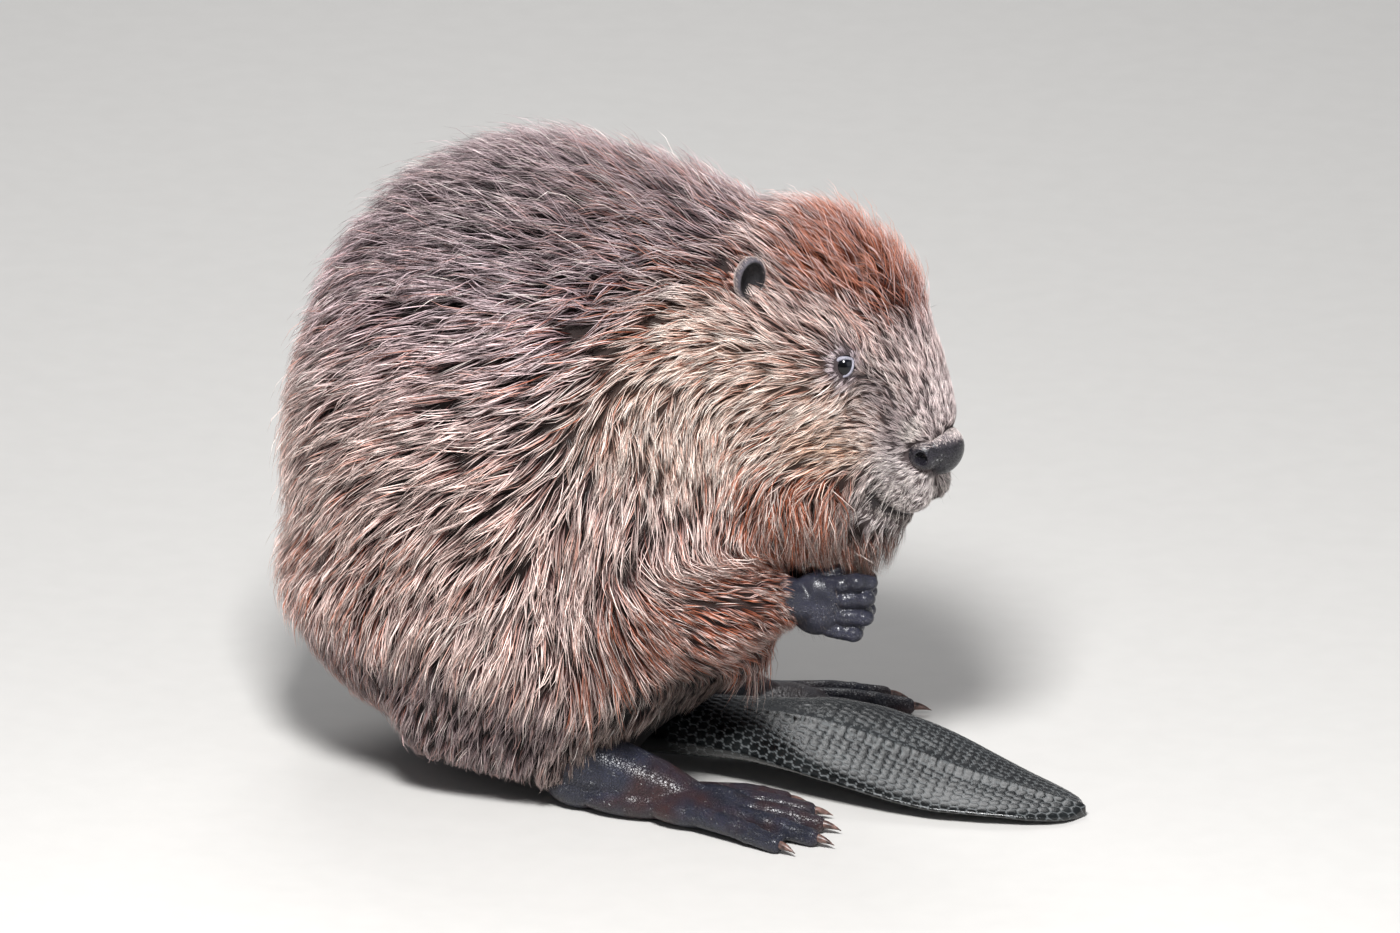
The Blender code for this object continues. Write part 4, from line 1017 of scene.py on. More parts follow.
def strand_arrays(grown, rows=slice(None)):
    """Points, triangles, map places and attributes of some strands of one growth."""
    keys = ("centre", "across", "up", "half", "tags", "root", "place")
    centre, across, up, half, tags, root, place = (grown[key][rows] for key in keys)
    count, rings = centre.shape[:2]
    reach = across[:, :-1] * half[:, :-1, None]
    crest = up[:, :-1] * half[:, :-1, None] * 0.9
    ringed = np.stack([centre[:, :-1] + offset for offset in (-reach, crest, reach)], 2)
    points = np.concatenate([ringed.reshape(count, -1, 3), centre[:, -1:]], axis=1)
    per = points.shape[1]
    triangles = np.arange(count)[:, None, None] * per + strand_faces(rings)
    share = np.concatenate([np.repeat(np.linspace(0, 1, rings)[:-1], 3), [1.0]])
    tuft = np.ones((count, per, 4))
    tuft[:, :, 0] = share
    tuft[:, :, 1:3] = tags[:, None, :2]
    first, more = zone_colours(root, tags[:, 2])
    sideways = np.concatenate([np.tile((-0.5, 0.0, 0.5), rings - 1), [0.0]])
    patch = np.stack([sideways, share - 0.5], axis=1) * PATCH
    return {
        "points": points.reshape(-1, 3),
        "triangles": triangles.reshape(-1, 3),
        "places": (place[:, None] + patch[None]).reshape(-1, 2),
        "tuft": tuft.reshape(-1, 4),
        "zone": np.repeat(first, per, 0),
        "zone_more": np.repeat(more, per, 0),
    }


# %% [markdown]
# The arrays of several growths are joined and written to one mesh, with the masks and the map place of
# each strand. A coat piece is a slice of all three growths.


# %% Coat pieces
def strand_mesh(name, parts):
    """One mesh from the arrays of several growths."""
    starts = np.cumsum([0] + [len(part["points"]) for part in parts])
    triangles = np.concatenate([part["triangles"] + start for part, start in zip(parts, starts)])
    joined = {key: np.concatenate([part[key] for part in parts]) for key in parts[0] if key != "triangles"}
    mesh = bpy.data.meshes.new(name)
    mesh.vertices.add(len(joined["points"]))
    mesh.vertices.foreach_set("co", joined["points"].ravel())
    mesh.loops.add(triangles.size)
    mesh.loops.foreach_set("vertex_index", triangles.ravel())
    mesh.polygons.add(len(triangles))
    mesh.polygons.foreach_set("loop_start", np.arange(0, triangles.size, 3))
    mesh.update(calc_edges=True)
    mesh.polygons.foreach_set("use_smooth", np.ones(len(triangles), bool))
    for key in ("tuft", "zone", "zone_more"):
        set_attribute(mesh, key, joined[key])
    layer = mesh.uv_layers.new(name=UNWRAP)
    layer.uv.foreach_set("vector", joined["places"][triangles.ravel()].astype(np.float32).ravel())
    return placed(name, mesh)


bands = [np.array_split(np.argsort(growth["root"][:, 0], kind="stable"), COAT_PIECES) for growth in growths]
coat_pieces = []
for number, rows in enumerate(zip(*bands), 1):
    parts = [strand_arrays(growth, band) for growth, band in zip(growths, rows)]
    coat_pieces.append(strand_mesh(f"coat_{number}", parts))
print("coat triangles:", [len(piece.data.polygons) for piece in coat_pieces])

# %% [markdown]
# ## Eyes and lids
# A beaver's eye is small and nearly black, with a wet, domed cornea. Round it lies a thin pale rim of
# bare lid, a soft ring that rests on the ball and closes to points in front of it and behind.

# %% Eyes
EYEBALL = 8.8 * MM
# The ball is sunk by this much behind the middle of the solid that it stands for
EYE_SUNK = Vector((0, 0.10, 0)) * CM
EYE_AIM = (0.20, 0.97, 0.10)
# The rim's half length and half height, its thickness, and how far its long axis dips towards the nose
LID_HALF, LID_THICK, LID_DIP = (8.3 * MM, 6.4 * MM), 1.05 * MM, math.radians(15)
LID_POINTS, LID_SIDES, LID_TAPER, LID_LIFT = 72, 14, 1.25, 0.1 * MM


def gaze(side):
    """Turns +Y to where the eye looks: out, a little forward and up."""
    aim = flip(Vector(EYE_AIM), side).normalized()
    return Vector((0, 1, 0)).rotation_difference(aim).to_matrix().to_4x4()


def make_eye(side):
    bm = bmesh.new()
    bmesh.ops.create_uvsphere(bm, u_segments=48, v_segments=32, radius=EYEBALL)
    return smooth_shaded(on_head(mesh_object("eye", bm), flip(EYE_AT - EYE_SUNK, side)))


def make_lids(side):
    bm = bmesh.new()
    rings = []
    for i in range(LID_POINTS):
        angle = 2 * math.pi * i / LID_POINTS
        rise = math.copysign(abs(math.sin(angle)) ** LID_TAPER, math.sin(angle))
        reach = Vector((LID_HALF[0] * math.cos(angle), 0, LID_HALF[1] * rise))
        reach.rotate(Euler((0, LID_DIP, 0)))
        depth = math.sqrt(max(EYEBALL**2 - min(reach.length, EYEBALL * 0.98) ** 2, 0)) + LID_LIFT
        out = reach.normalized()
        thick = LID_THICK * (1 + 0.5 * max(0, math.sin(angle)))
        turns = [2 * math.pi * k / LID_SIDES for k in range(LID_SIDES)]
        lifts = [Vector((0, depth + thick * math.cos(turn), 0)) for turn in turns]
        section = [reach + out * thick * math.sin(turn) + lift for turn, lift in zip(turns, lifts)]
        rings.append([bm.verts.new(point) for point in section])
    for here, there in zip(rings, rings[1:] + rings[:1]):
        for k in range(LID_SIDES):
            after = (k + 1) % LID_SIDES
            bm.faces.new((here[k], here[after], there[after], there[k]))
    return smooth_shaded(on_head(mesh_object("lids", bm), flip(EYE_AT - EYE_SUNK, side), gaze(side)))


eyes = {name: make_eye(side) for name, side in SIDES.items()}
lids = {name: make_lids(side) for name, side in SIDES.items()}
print("lid faces:", len(lids["right"].data.polygons))

# %% [markdown]
# ## Ears
# The ear is a small, thick, rounded cup of dark skin that opens forward and outward. An ellipsoid is
# hollowed by a smaller one, and a fine remesh rounds the rim.

# %% Ears
EAR_RADII = Vector((0.80, 1.15, 1.70)) * CM
EAR_HOLLOW, EAR_HOLLOW_AT = Vector((0.85, 0.88, 1.38)) * CM, Vector((0.50, 0, 0.10)) * CM
EAR_UP = {RIGHT: Vector((-0.42, -0.10, 0.90)), LEFT: Vector((-0.65, 0.25, 0.70))}
EAR_OPENING = Vector((0.80, 0.58, 0.15))


def ear_turn(side):
    """The ear's own axes in the head's: out of the opening, across, and up along the ear."""
    opening = flip(EAR_OPENING, side).normalized()
    across = EAR_UP[side].cross(opening).normalized()
    return Matrix((opening, across, opening.cross(across))).transposed().to_4x4()


def make_ear(side):
    shell = cut_away(blob((0, 0, 0), EAR_RADII), blob(EAR_HOLLOW_AT, EAR_HOLLOW))
    return on_head(fuse("ear", [shell], 0.9 * MM, 3), EAR_AT[side], ear_turn(side))


ears = {name: make_ear(side) for name, side in SIDES.items()}
print("ear faces:", len(ears["right"].data.polygons))

# %% [markdown]
# ## Nose
# The nose pad is bare, black and pebbled. A wing swells round each nostril, and a bulge in front joins
# them. It is melted from four masses, and each nostril is cut in from the side before a last smoothing.

# %% Nose
NOSE_RADII = Vector((1.45, 1.50, 1.85)) * CM
NOSE_BRIDGE = (Vector((-0.30, 0.00, 0.20)) * CM, Vector((1.35, 2.05, 1.45)) * CM)
NOSTRIL = (Vector((-0.45, 2.65, -0.20)) * CM, Vector((0.52, 0.95, 0.46)) * CM, (0, 25, 0))


def make_nose():
    pieces = [blob((0, 0, 0), NOSE_RADII), blob(*NOSE_BRIDGE)]
    pieces += [blob(flip(NOSE_WING[0], side), NOSE_WING[1]) for side in BOTH]
    pad = fuse("nose", pieces, 0.7 * MM, 6)
    for side in BOTH:
        cut_away(pad, blob(flip(NOSTRIL[0], side), *NOSTRIL[1:]))
    return on_head(fuse("nose", [pad], 0.8 * MM, 2), NOSE_AT)


nose = make_nose()
print("nose faces:", len(nose.data.polygons))

# %% [markdown]
# ## Hands and feet
# Both are bare, leathery skin. The forepaws are closed on each other, four fingers curled over a round
# palm and a small thumb beside them. A ball at each knuckle and each finger's root gives the swellings
# that light picks out.

# %% Hands
HAND_AT = {RIGHT: Vector((0.176, -0.040, 0.1445)), LEFT: Vector((0.168, -0.003, 0.1365))}
PALM_RADII = (0.021, 0.0130, 0.0230)
WRIST_FROM_PALM, WRIST_RADII = Vector((-0.020, 0.004, 0.003)), [0.0185, 0.0165, 0.0130]
# Root, knuckle and tip of each finger, from the top one down, in millimetres from the palm's centre
FINGERS = (
    ((12, 2, 15.5), (30, 3, 20.0), (39, -3, 18.0)),
    ((12, 2, 5.0), (36, 1, 7.0), (35, -10, 5.0)),
    ((12, 2, -7.0), (35, 1, -7.0), (34, -10, -7.0)),
    ((10, 1, -17.5), (27, 0, -20.0), (28, -9, -17.5)),
)
FINGER_RADII, KNUCKLE_RADII = (0.0062, 0.0062, 0.0052), (0.0074, 0.0074, 0.0062)
THUMB, THUMB_RADII = [Vector((0.002, -0.003, 0.0190)), Vector((0.015, -0.008, 0.0235))], (0.0060, 0.0050)


def mirrored(obj, side):
    if side == RIGHT:
        obj.data.transform(Matrix.Diagonal((1, -1, 1, 1)))
        obj.data.flip_normals()
    return obj


def finger(points):
    return [Vector(point) * MM for point in points]


def in_hand(obj, side):
    mirrored(obj, side).data.transform(Matrix.Translation(HAND_AT[side]))
    return obj


def make_hand(side):
    pieces = [blob((0, 0, 0), PALM_RADII)]
    for points in FINGERS:
        root, knuckle, _ = finger(points)
        pieces += limb(finger(points), FINGER_RADII)
        pieces += [blob(place, KNUCKLE_RADII, detail=4) for place in (knuckle, root.lerp(knuckle, 0.40))]
    pieces = [in_hand(piece, side) for piece in pieces + limb(THUMB, THUMB_RADII)]
    wrist = HAND_AT[side] + flip(WRIST_FROM_PALM, side)
    pieces += limb([FOREARM[side][-1], wrist, HAND_AT[side]], WRIST_RADII)
    return fuse("hand", pieces, 1.1 * MM, 1)


hands = {name: make_hand(side) for name, side in SIDES.items()}
print("hand faces:", len(hands["right"].data.polygons))

# %% [markdown]
# The hind feet are broad, with five long toes and webs between them, for swimming. Each web is a thin
# sheet whose edge curves in a little between two toe tips.

# %% Feet
# In metres: forward and to the left on the floor, and for the first three the height too
ANKLE, INSTEP, BALL = (0.022, 0.099, 0.034), (0.075, 0.106, 0.021), (0.108, 0.112, 0.012)
FOOT_PADS = (
    (BALL, (0.040, 0.030, 0.0135)),
    ((0.022, 0.099, 0.018), (0.030, 0.022, 0.019)),
    ((0.066, 0.105, 0.012), (0.050, 0.025, 0.014)),
)
TOE_ROOTS = ((0.104, 0.090), (0.114, 0.099), (0.118, 0.110), (0.112, 0.122), (0.100, 0.130))
TOE_TIPS = ((0.160, 0.071), (0.182, 0.089), (0.195, 0.115), (0.198, 0.143), (0.176, 0.163))
FOOT_RADII, TOE_RADII = [0.022, 0.025, 0.020, 0.014], (0.0080, 0.0078, 0.0066)
# The toe's height at root, middle and tip, and where the middle is
TOE_HEIGHTS, TOE_MIDDLE = (0.0135, 0.0115, 0.0062), 0.55
# Knuckles: which bone, how far along it, and radii
KNUCKLES = ((0, 0.35, (0.0090, 0.0072, 0.00756)), (1, 0.40, (0.0090, 0.0076, 0.00798)))
WEB_LOW, WEB_HIGH, WEB_REACH, WEB_NOTCH, WEB_STEPS = 0.0025, 0.0068, 0.90, 0.80, 8


def toe(index):
    root, tip = Vector((*TOE_ROOTS[index], 0)), Vector((*TOE_TIPS[index], 0))
    places = (root, root.lerp(tip, TOE_MIDDLE), tip)
    return [Vector((place.x, place.y, height)) for place, height in zip(places, TOE_HEIGHTS)]


def web(index):
    """The skin between two toes, with a shallow curved edge."""
    roots, tips = ([Vector((*ends[i], 0)) for i in (index, index + 1)] for ends in (TOE_ROOTS, TOE_TIPS))
    reach = [root.lerp(tip, WEB_REACH) for root, tip in zip(roots, tips)]
    notch = roots[0].lerp(roots[1], 0.5).lerp(tips[0].lerp(tips[1], 0.5), WEB_NOTCH)
    outline = [roots[0]]
    for i in range(WEB_STEPS + 1):
        t = i / WEB_STEPS
        outline.append(reach[0] * (1 - t) ** 2 + notch * (2 * t * (1 - t)) + reach[1] * t**2)
    outline.append(roots[1])
    return loft([[Vector((p.x, p.y, z)) for p in outline] for z in (WEB_LOW, WEB_HIGH)], "web")


def make_foot(side):
    pieces = [blob(*pad) for pad in FOOT_PADS]
    pieces += limb([SHANK[-1], ANKLE, INSTEP, BALL], FOOT_RADII)
    for index in range(len(TOE_TIPS)):
        points = toe(index)
        pieces += limb(points, TOE_RADII)
        for bone, along, radii in KNUCKLES:
            pieces.append(blob(points[bone].lerp(points[bone + 1], along), radii, detail=4))
    pieces += [web(index) for index in range(len(TOE_TIPS) - 1)]
    return mirrored(smooth_shaded(flat_below(fuse("foot", pieces, 1.6 * MM, 2))), side)


feet = {name: make_foot(side) for name, side in SIDES.items()}
print("foot faces:", len(feet["right"].data.polygons))

# %% [markdown]
# Each claw is a curved, tapering sheath of horn that comes out of the toe and ends in a blunt point. The
# fore claws are smaller and point back into the fist.

# %% Claws
HIND_CLAW, FORE_CLAW, THUMB_CLAW = 0.020, 0.012, 0.0096
HIND_CLAW_RADIUS, FORE_CLAW_RADIUS, THUMB_CLAW_RADIUS = 0.0036, 0.0030, 0.0025
# How far the claw's root lies in the toe or out of the finger, and how far a hind claw's tip drops
HIND_ROOT, FORE_ROOT, HIND_DROP = 0.002, 0.0015, Vector((0, 0, -0.0030))
FORE_HEADING = Vector((-0.93, -0.12, -0.34)).normalized()
CLAW_SIDES, CLAW_STEPS, CLAW_ARCH, CLAW_TIP = 18, 14, 0.45, 0.10


def make_claw(root, tip, radius):
    points, radii = [], []
    for i in range(CLAW_STEPS + 1):
        t = i / CLAW_STEPS
        points.append(root.lerp(tip, t) + Vector((0, 0, radius * CLAW_ARCH)) * (4 * t * (1 - t)))
        radii.append(radius * max(CLAW_TIP, (1 - t**2.4)) * (0.86 + 0.14 * (1 - t)))
    return tube(points, radii, CLAW_SIDES)


def hind_claws(side):
    for end, start in zip(TOE_TIPS, TOE_ROOTS):
        heading = (Vector((*end, 0)) - Vector((*start, 0))).normalized()
        root = Vector((*end, TOE_HEIGHTS[-1])) - heading * HIND_ROOT
        yield mirrored(make_claw(root, root + heading * HIND_CLAW + HIND_DROP, HIND_CLAW_RADIUS), side)


def fore_claws(side):
    for points in FINGERS:
        root = finger(points)[-1] + FORE_HEADING * FORE_ROOT
        yield in_hand(make_claw(root, root + FORE_HEADING * FORE_CLAW, FORE_CLAW_RADIUS), side)
    tip = THUMB[1] + (THUMB[1] - THUMB[0]).normalized() * THUMB_CLAW
    yield in_hand(make_claw(THUMB[1], tip, THUMB_CLAW_RADIUS), side)


claws = {}
for name, side in SIDES.items():
    for kind, made in (("foot", hind_claws(side)), ("hand", fore_claws(side))):
        claws.update({f"{kind}_{name}_claw_{number}": obj for number, obj in enumerate(made, 1)})
print("claws:", len(claws))

# %% [markdown]
# The bare parts aren't quite bare. Fine, sparse hair a few millimetres long runs from the fur over the
# top of the nose pad, over the back of each ear and over the backs of the hands. It grows by the same
# rule as the coat, from the surface of each part. Nose and ears also keep the mask of where it grows, to
# make the skin there greyer.

# %% Fuzz
# For each part: hairs, length, lift and width as a share of a strand's, and its rust, gold, pale and dark
FUZZ = {
    "nose": (6500, 5.2 * MM, 0.8 * MM, 0.30, (0, 0, 0.8, 0.20)),
    "ear": (1500, 4.8 * MM, 1.6 * MM, 0.30, (0, 0, 0.6, 0.50)),
    "hand": (320, 6.0 * MM, 0.6 * MM, 0.18, (0, 0, 0, 1.0)),
}


def nose_top(points, normals):
    """The top of the pad, towards the bridge."""
    forward, _, above = (in_head(points) - np.array(NOSE_AT) / CM).T
    return ramp(0.72, 1.85, above - 0.55 * forward)


def ear_back(points, normals):
    """The ear's rim and back, not its hollow."""
    outside = np.ones(len(points))
    for s in BOTH:
        local = (in_head(points) * CM - np.array(EAR_AT[s])) @ np.array(ear_turn(s).to_3x3())
        hollow = np.linalg.norm((local - np.array(EAR_HOLLOW_AT)) / np.array(EAR_HOLLOW), axis=1)
        outside = np.minimum(outside, ramp(1.03, 1.16, hollow))
    return outside


def hand_back(points, normals):
    """The back of the palm, not the fingers."""
    palms = to_any(points, HAND_AT.values())
    return ramp(0.030, 0.016, palms) * ramp(-0.2, 0.4, np.abs(normals[:, 1]))


def fuzz_on(kind, surface, density):
    count, *sizes, masks = FUZZ[kind]
    unwrap(surface)
    growth = {"locks": int(count * SHARE), "strands": 1, "rings": 3, "spread": 0.3, "stand": 1.0}

    def sizes_at(points):
        return [np.full(len(points), size) for size in sizes]

    grown = grow(growth, surface, density, sizes_at, rng)
    made = strand_arrays(grown)
    made["zone"][:], made["zone_more"][:] = masks, 0
    return made


for part, density in ((nose, nose_top), (ears["right"], ear_back), (ears["left"], ear_back)):
    set_attribute(part.data, "tops", np.repeat(density(points_of(part), None)[:, None], 4, 1))
fuzz_parts = [fuzz_on("nose", nose, nose_top)]
for name in SIDES:
    fuzz_parts.append(fuzz_on("ear", ears[name], ear_back))
    fuzz_parts.append(fuzz_on("hand", hands[name], hand_back))
fuzz = strand_mesh("fuzz", fuzz_parts)
print("fuzz triangles:", len(fuzz.data.polygons))

# %% [markdown]
# ## Tail
# The tail is a flat blade of thick skin marked off in scales about 8 mm across, which don't overlap. The
# blade's form is read from stations along it, by curves without corners. The scales are the cells of a
# slightly uneven honeycomb, and a point is in a groove where two cells' centres are equally near.

# %% Tail stations and scales
# In centimetres: how far forward, right edge, left edge, height of the middle and half the depth
TAIL_STATIONS = (
    (1.2, -2.7, 2.7, 3.05, 1.95),
    (6.0, -3.0, 3.6, 3.00, 1.90),
    (9.5, -3.6, 4.9, 2.95, 1.75),
    (12.5, -4.4, 5.8, 2.95, 1.45),
    (16.5, -5.8, 6.6, 2.95, 1.10),
    (20.0, -6.6, 6.9, 2.50, 0.90),
    (23.5, -7.2, 6.3, 1.90, 0.80),
    (27.0, -7.55, 4.8, 1.35, 0.70),
    (30.5, -7.4, 2.9, 0.95, 0.64),
    (33.5, -6.9, 1.0, 0.62, 0.62),
    (35.5, -6.2, -0.6, 0.48, 0.52),
    (36.7, -5.2, -1.8, 0.38, 0.42),
    (37.2, -3.6, -3.6, 0.30, 0.34),
)
SCALE_PITCH, SCALE_DEPTH, UNEVEN = 8.0 * MM, 0.55 * MM, 0.16
FINE_STEPS, SMOOTHING = 200, 13


def smooth_column(column, xs):
    table = np.array(TAIL_STATIONS) * CM
    fine = np.linspace(table[0, 0], table[-1, 0], FINE_STEPS)
    values = np.interp(fine, table[:, 0], table[:, column])
    kernel = np.hanning(SMOOTHING) / np.hanning(SMOOTHING).sum()
    margin = SMOOTHING // 2
    beyond = 2 * values[-1] - values[-2 : -2 - margin : -1]
    padded = np.concatenate([np.full(margin, values[0]), values, beyond])
    return np.interp(xs, fine, np.convolve(padded, kernel, "valid"))


def scale_edge(x, y):
    """Distance from the nearest border of a cell, as a share of the pitch, and the cell's own tag."""
    row = SCALE_PITCH * math.sqrt(3) / 2
    best, second, tag = np.full(x.shape, 9.0), np.full(x.shape, 9.0), np.zeros(x.shape)
    for di in (-1, 0, 1):
        i = np.round(x / row) + di
        offset = 0.5 * np.mod(i, 2)
        for dj in (-1, 0, 1):
            j = np.round(y / SCALE_PITCH - offset) + dj
            jitter = np.mod(np.sin(i * 12.9898 + j * 78.233) * 43758.5453, 1)
            cx = (i + UNEVEN * (jitter - 0.5)) * row
            cy = (j + offset + UNEVEN * (np.mod(jitter * 7, 1) - 0.5)) * SCALE_PITCH
            d = np.hypot(x - cx, y - cy) / SCALE_PITCH
            nearer = d < best
            second = np.where(nearer, best, np.minimum(second, d))
            tag = np.where(nearer, jitter, tag)
            best = np.where(nearer, d, best)
    return second - best, tag


# %% [markdown]
# A fine grid is laid over the blade, closer towards the tip. A low ridge runs along the middle of the
# top, grooves are sunk and the scales' middles rise a little, so light finds each scale.

# %% Tail
TAIL_ALONG, TAIL_ROUND = ((310, 200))
TAIL_TILT = 0.08
RIDGE, RIDGE_WIDTH = 2.0 * MM, 6 * MM
# Powers: how the rows crowd to the tip, and how the edge of a section is rounded across and upward
CROWDING, EDGE_ACROSS, EDGE_UP = 1.25, 0.85, 2.6
# In metres forward: where the scales begin, where the ridge rises, and where the tilt comes and goes
SCALES_FROM, RIDGE_FROM, TILT_FROM, TILT_TO = (0.055, 0.085), (0.10, 0.16), (0.10, 0.18), (0.33, 0.25)
# As shares of the pitch: a groove's edge and floor, a plate's foot and top; then how far a plate rises
GROOVE, PLATE, PLATE_RISE = (0.15, 0.02), (0.1, 0.6), 0.35


def make_tail():
    start, end = TAIL_STATIONS[0][0] * CM, TAIL_STATIONS[-1][0] * CM
    xs = start + (end - start) * (1 - (1 - np.linspace(0, 1, TAIL_ALONG)) ** CROWDING)
    turn = np.linspace(0, 2 * math.pi, TAIL_ROUND, endpoint=False)
    x, angle = np.meshgrid(xs, turn, indexing="ij")
    near, far, middle, depth = (smooth_column(column, x) for column in (1, 2, 3, 4))
    u = np.sign(np.cos(angle)) * np.abs(np.cos(angle)) ** EDGE_ACROSS
    face = np.sign(np.sin(angle))
    across = np.maximum((far - near) / 2, 0) * u
    rim = np.maximum(0, 1 - np.abs(u) ** EDGE_UP) ** 0.5
    tilt = TAIL_TILT * ramp(*TILT_FROM, x) * ramp(*TILT_TO, x)
    ridge = RIDGE * np.exp(-((across / RIDGE_WIDTH) ** 2)) * ramp(*RIDGE_FROM, x)
    z = middle + tilt * across + face * depth * rim + np.where(face > 0, ridge * rim, 0)
    y = (near + far) / 2 + across
    # Round each section the scales are counted off along the surface, from its middle line
    steps = np.hypot(np.diff(y, axis=1, prepend=y[:, :1]), np.diff(z, axis=1, prepend=z[:, :1]))
    around, top = np.cumsum(steps, axis=1), [TAIL_ROUND // 4]
    edge, tag = scale_edge(x, y[:, top] + around[:, top] - around)
    scaled = ramp(*SCALES_FROM, x)
    groove = ramp(*GROOVE, edge) * scaled
    plate = (0.35 + 0.65 * tag) * ramp(*PLATE, edge) * scaled
    z = np.maximum(z + face * rim * (plate * PLATE_RISE - groove) * SCALE_DEPTH, 0.0001)
    i, j = np.meshgrid(np.arange(TAIL_ALONG - 1) * TAIL_ROUND, np.arange(TAIL_ROUND), indexing="ij")
    k = (j + 1) % TAIL_ROUND
    faces = np.stack([i + j, i + k, i + TAIL_ROUND + k, i + TAIL_ROUND + j], -1).reshape(-1, 4).tolist()
    faces.append(list(range(TAIL_ROUND))[::-1])
    mesh = bpy.data.meshes.new("tail_form")
    mesh.from_pydata(np.stack([x, y, z], axis=-1).reshape(-1, 3).tolist(), [], faces)
    bm = bmesh.new()
    bm.from_mesh(mesh)
    obj = smooth_shaded(mesh_object("tail", bm))
    set_attribute(obj.data, "scales", np.stack([groove, tag, scaled, scaled], -1).reshape(-1, 4))
    return obj


tail = make_tail()
print("tail faces:", len(tail.data.polygons))

# %% [markdown]
# ## Whiskers and lashes
# Stiff white and black bristles stand out from the upper lip, a few from the chin and above the eye.
# They are longer towards the back and droop a little. Each is built like a strand of the coat.

# %% Whiskers
WHISKER_WIDTH, WHISKER_TAPER, DROOP = 0.30 * MM, (1.0, 0.8, 0.5, 0.0), -0.22
# In centimetres in the head's axes: the first bristle of lip, chin and brow, the step to the next, and how
# many there are. The lip has rows of them.
LIP_START, LIP_STEP, LIP_ROWS, LIP_ROW = (8.4, 3.2, -4.9), 0.62, 5, 6
CHIN_START, CHIN_STEP, CHIN_ROW = (8.6, 1.2, -10.4), 0.45, 9
BROW_START, BROW_STEP, BROW_ROW = (0.2, 4.6, 2.0), 0.5, 4
# In metres: how long a bristle is, and on the lip how much longer than the one in front of it
LIP_LENGTH, LIP_GAIN, CHIN_LENGTH, BROW_LENGTH = 0.018, 0.006, 0.020, 0.018


def whisker_plan(rng):
    """Start and heading in the head's axes, and length, of each whisker."""
    for side in BOTH:
        x, y, z = LIP_START
        for row in range(LIP_ROWS):
            for k in range(LIP_ROW):
                forward = x - LIP_STEP * k + 0.2 * rng.normal()
                above = z - LIP_STEP * row + 0.15 * rng.normal()
                heading = (0.75 - 0.28 * k + 0.1 * rng.normal(), side * 0.75, -0.45 - 0.12 * row)
                length = (LIP_LENGTH + LIP_GAIN * k) * rng.uniform(0.7, 1.2)
                yield (forward, side * y, above), heading, length
        x, y, z = CHIN_START
        for k in range(CHIN_ROW):
            heading = (0.35 - 0.1 * k, side * 0.25 + 0.2 * rng.normal(), -1.0)
            yield (x - CHIN_STEP * k, side * y, z), heading, CHIN_LENGTH * rng.uniform(0.6, 1.2)
        x, y, z = BROW_START
        for k in range(BROW_ROW):
            heading = (0.25, side * 0.8, 0.8)
            yield (x + BROW_STEP * k, side * y, z), heading, BROW_LENGTH * rng.uniform(0.7, 1.1)


def make_whiskers(rng):
    tree, rings = tree_of(skin), len(WHISKER_TAPER)
    centre, across, up = [], [], []
    for start, heading, length in whisker_plan(rng):
        root, normal, _, _ = tree.find_nearest(HEAD @ (Vector(start) * CM))
        way = (HEAD.to_3x3() @ Vector(heading)).normalized()
        droop = Vector((0, 0, DROOP * length))
        side_way = way.cross(normal).normalized()
        centre.append([(root + way * (length * t) + droop * t * t)[:] for t in np.linspace(0, 1, rings)])
        across.append([side_way[:]] * rings)
        up.append([way.cross(side_way).normalized()[:]] * rings)
    centre, count = np.array(centre), len(centre)
    return {
        "centre": centre,
        "across": np.array(across),
        "up": np.array(up),
        "half": np.tile(np.array(WHISKER_TAPER) * WHISKER_WIDTH / 2, (count, 1)),
        "tags": rng.random((count, 3)),
        "root": centre[:, 0],
        "place": np.full((count, 2), 0.5),
    }


whiskers = strand_mesh("whiskers", [strand_arrays(make_whiskers(rng))])
print("whisker triangles:", len(whiskers.data.polygons))

# %% [markdown]
# ## Finishes
# Fur first. A guard hair is keratin, IOR 1.55, under waxed scales of a few thousandths of a millimetre,
# too fine to show even as bump, so a low roughness of 0.34 stands for them and gives the coat its soft,
# sleek shine. A hair is dark at the root and pale at the tip. The dark root is partly the hair's own colour
# and partly painted shade deep in the coat, which is what the eye reads as depth, and the pale tip is
# partly the hair's own colour and partly a painted highlight. Lower strands of a lock are painted darker
# and upper ones paler, as painted shade and painted light, and each differs a little from its neighbour.
# Nothing in it is metal.

# %% Guard hair
# At the root, along the hair and at the tip, for each zone
HAIR_SHADES = {
    "base": ("#1a0d0b", "#9b7875", "#ffeae3"),
    "back": ("#150d11", "#7a656e", "#d6c2c9"),
    "gold": ("#543629", "#e4bba8", "#fff3ea"),
    "tan": ("#5a3320", "#c78a66", "#f4cdae"),
    "rust": ("#240d07", "#843a22", "#c6826a"),
    "pale": ("#75686a", "#cfc0bf", "#fcf3f1"),
    # Dark hair, also laid on as painted shade under the body, by the feet, under the chin and in the mouth's
    # crease
    "dark": ("#080506", "#2a2021", "#8a7c76"),
    "grey": ("#2a2123", "#78676c", "#c4b7bb"),
    "cream": ("#7d716c", "#cbbeb7", "#f6eee8"),
}


def zone_masks(tree):
    masks = dict(zip(("rust", "gold", "pale", "dark"), channels(tree, "zone")))
    return {**masks, **dict(zip(("back", "grey", "cream", "tan"), channels(tree, "zone_more")))}


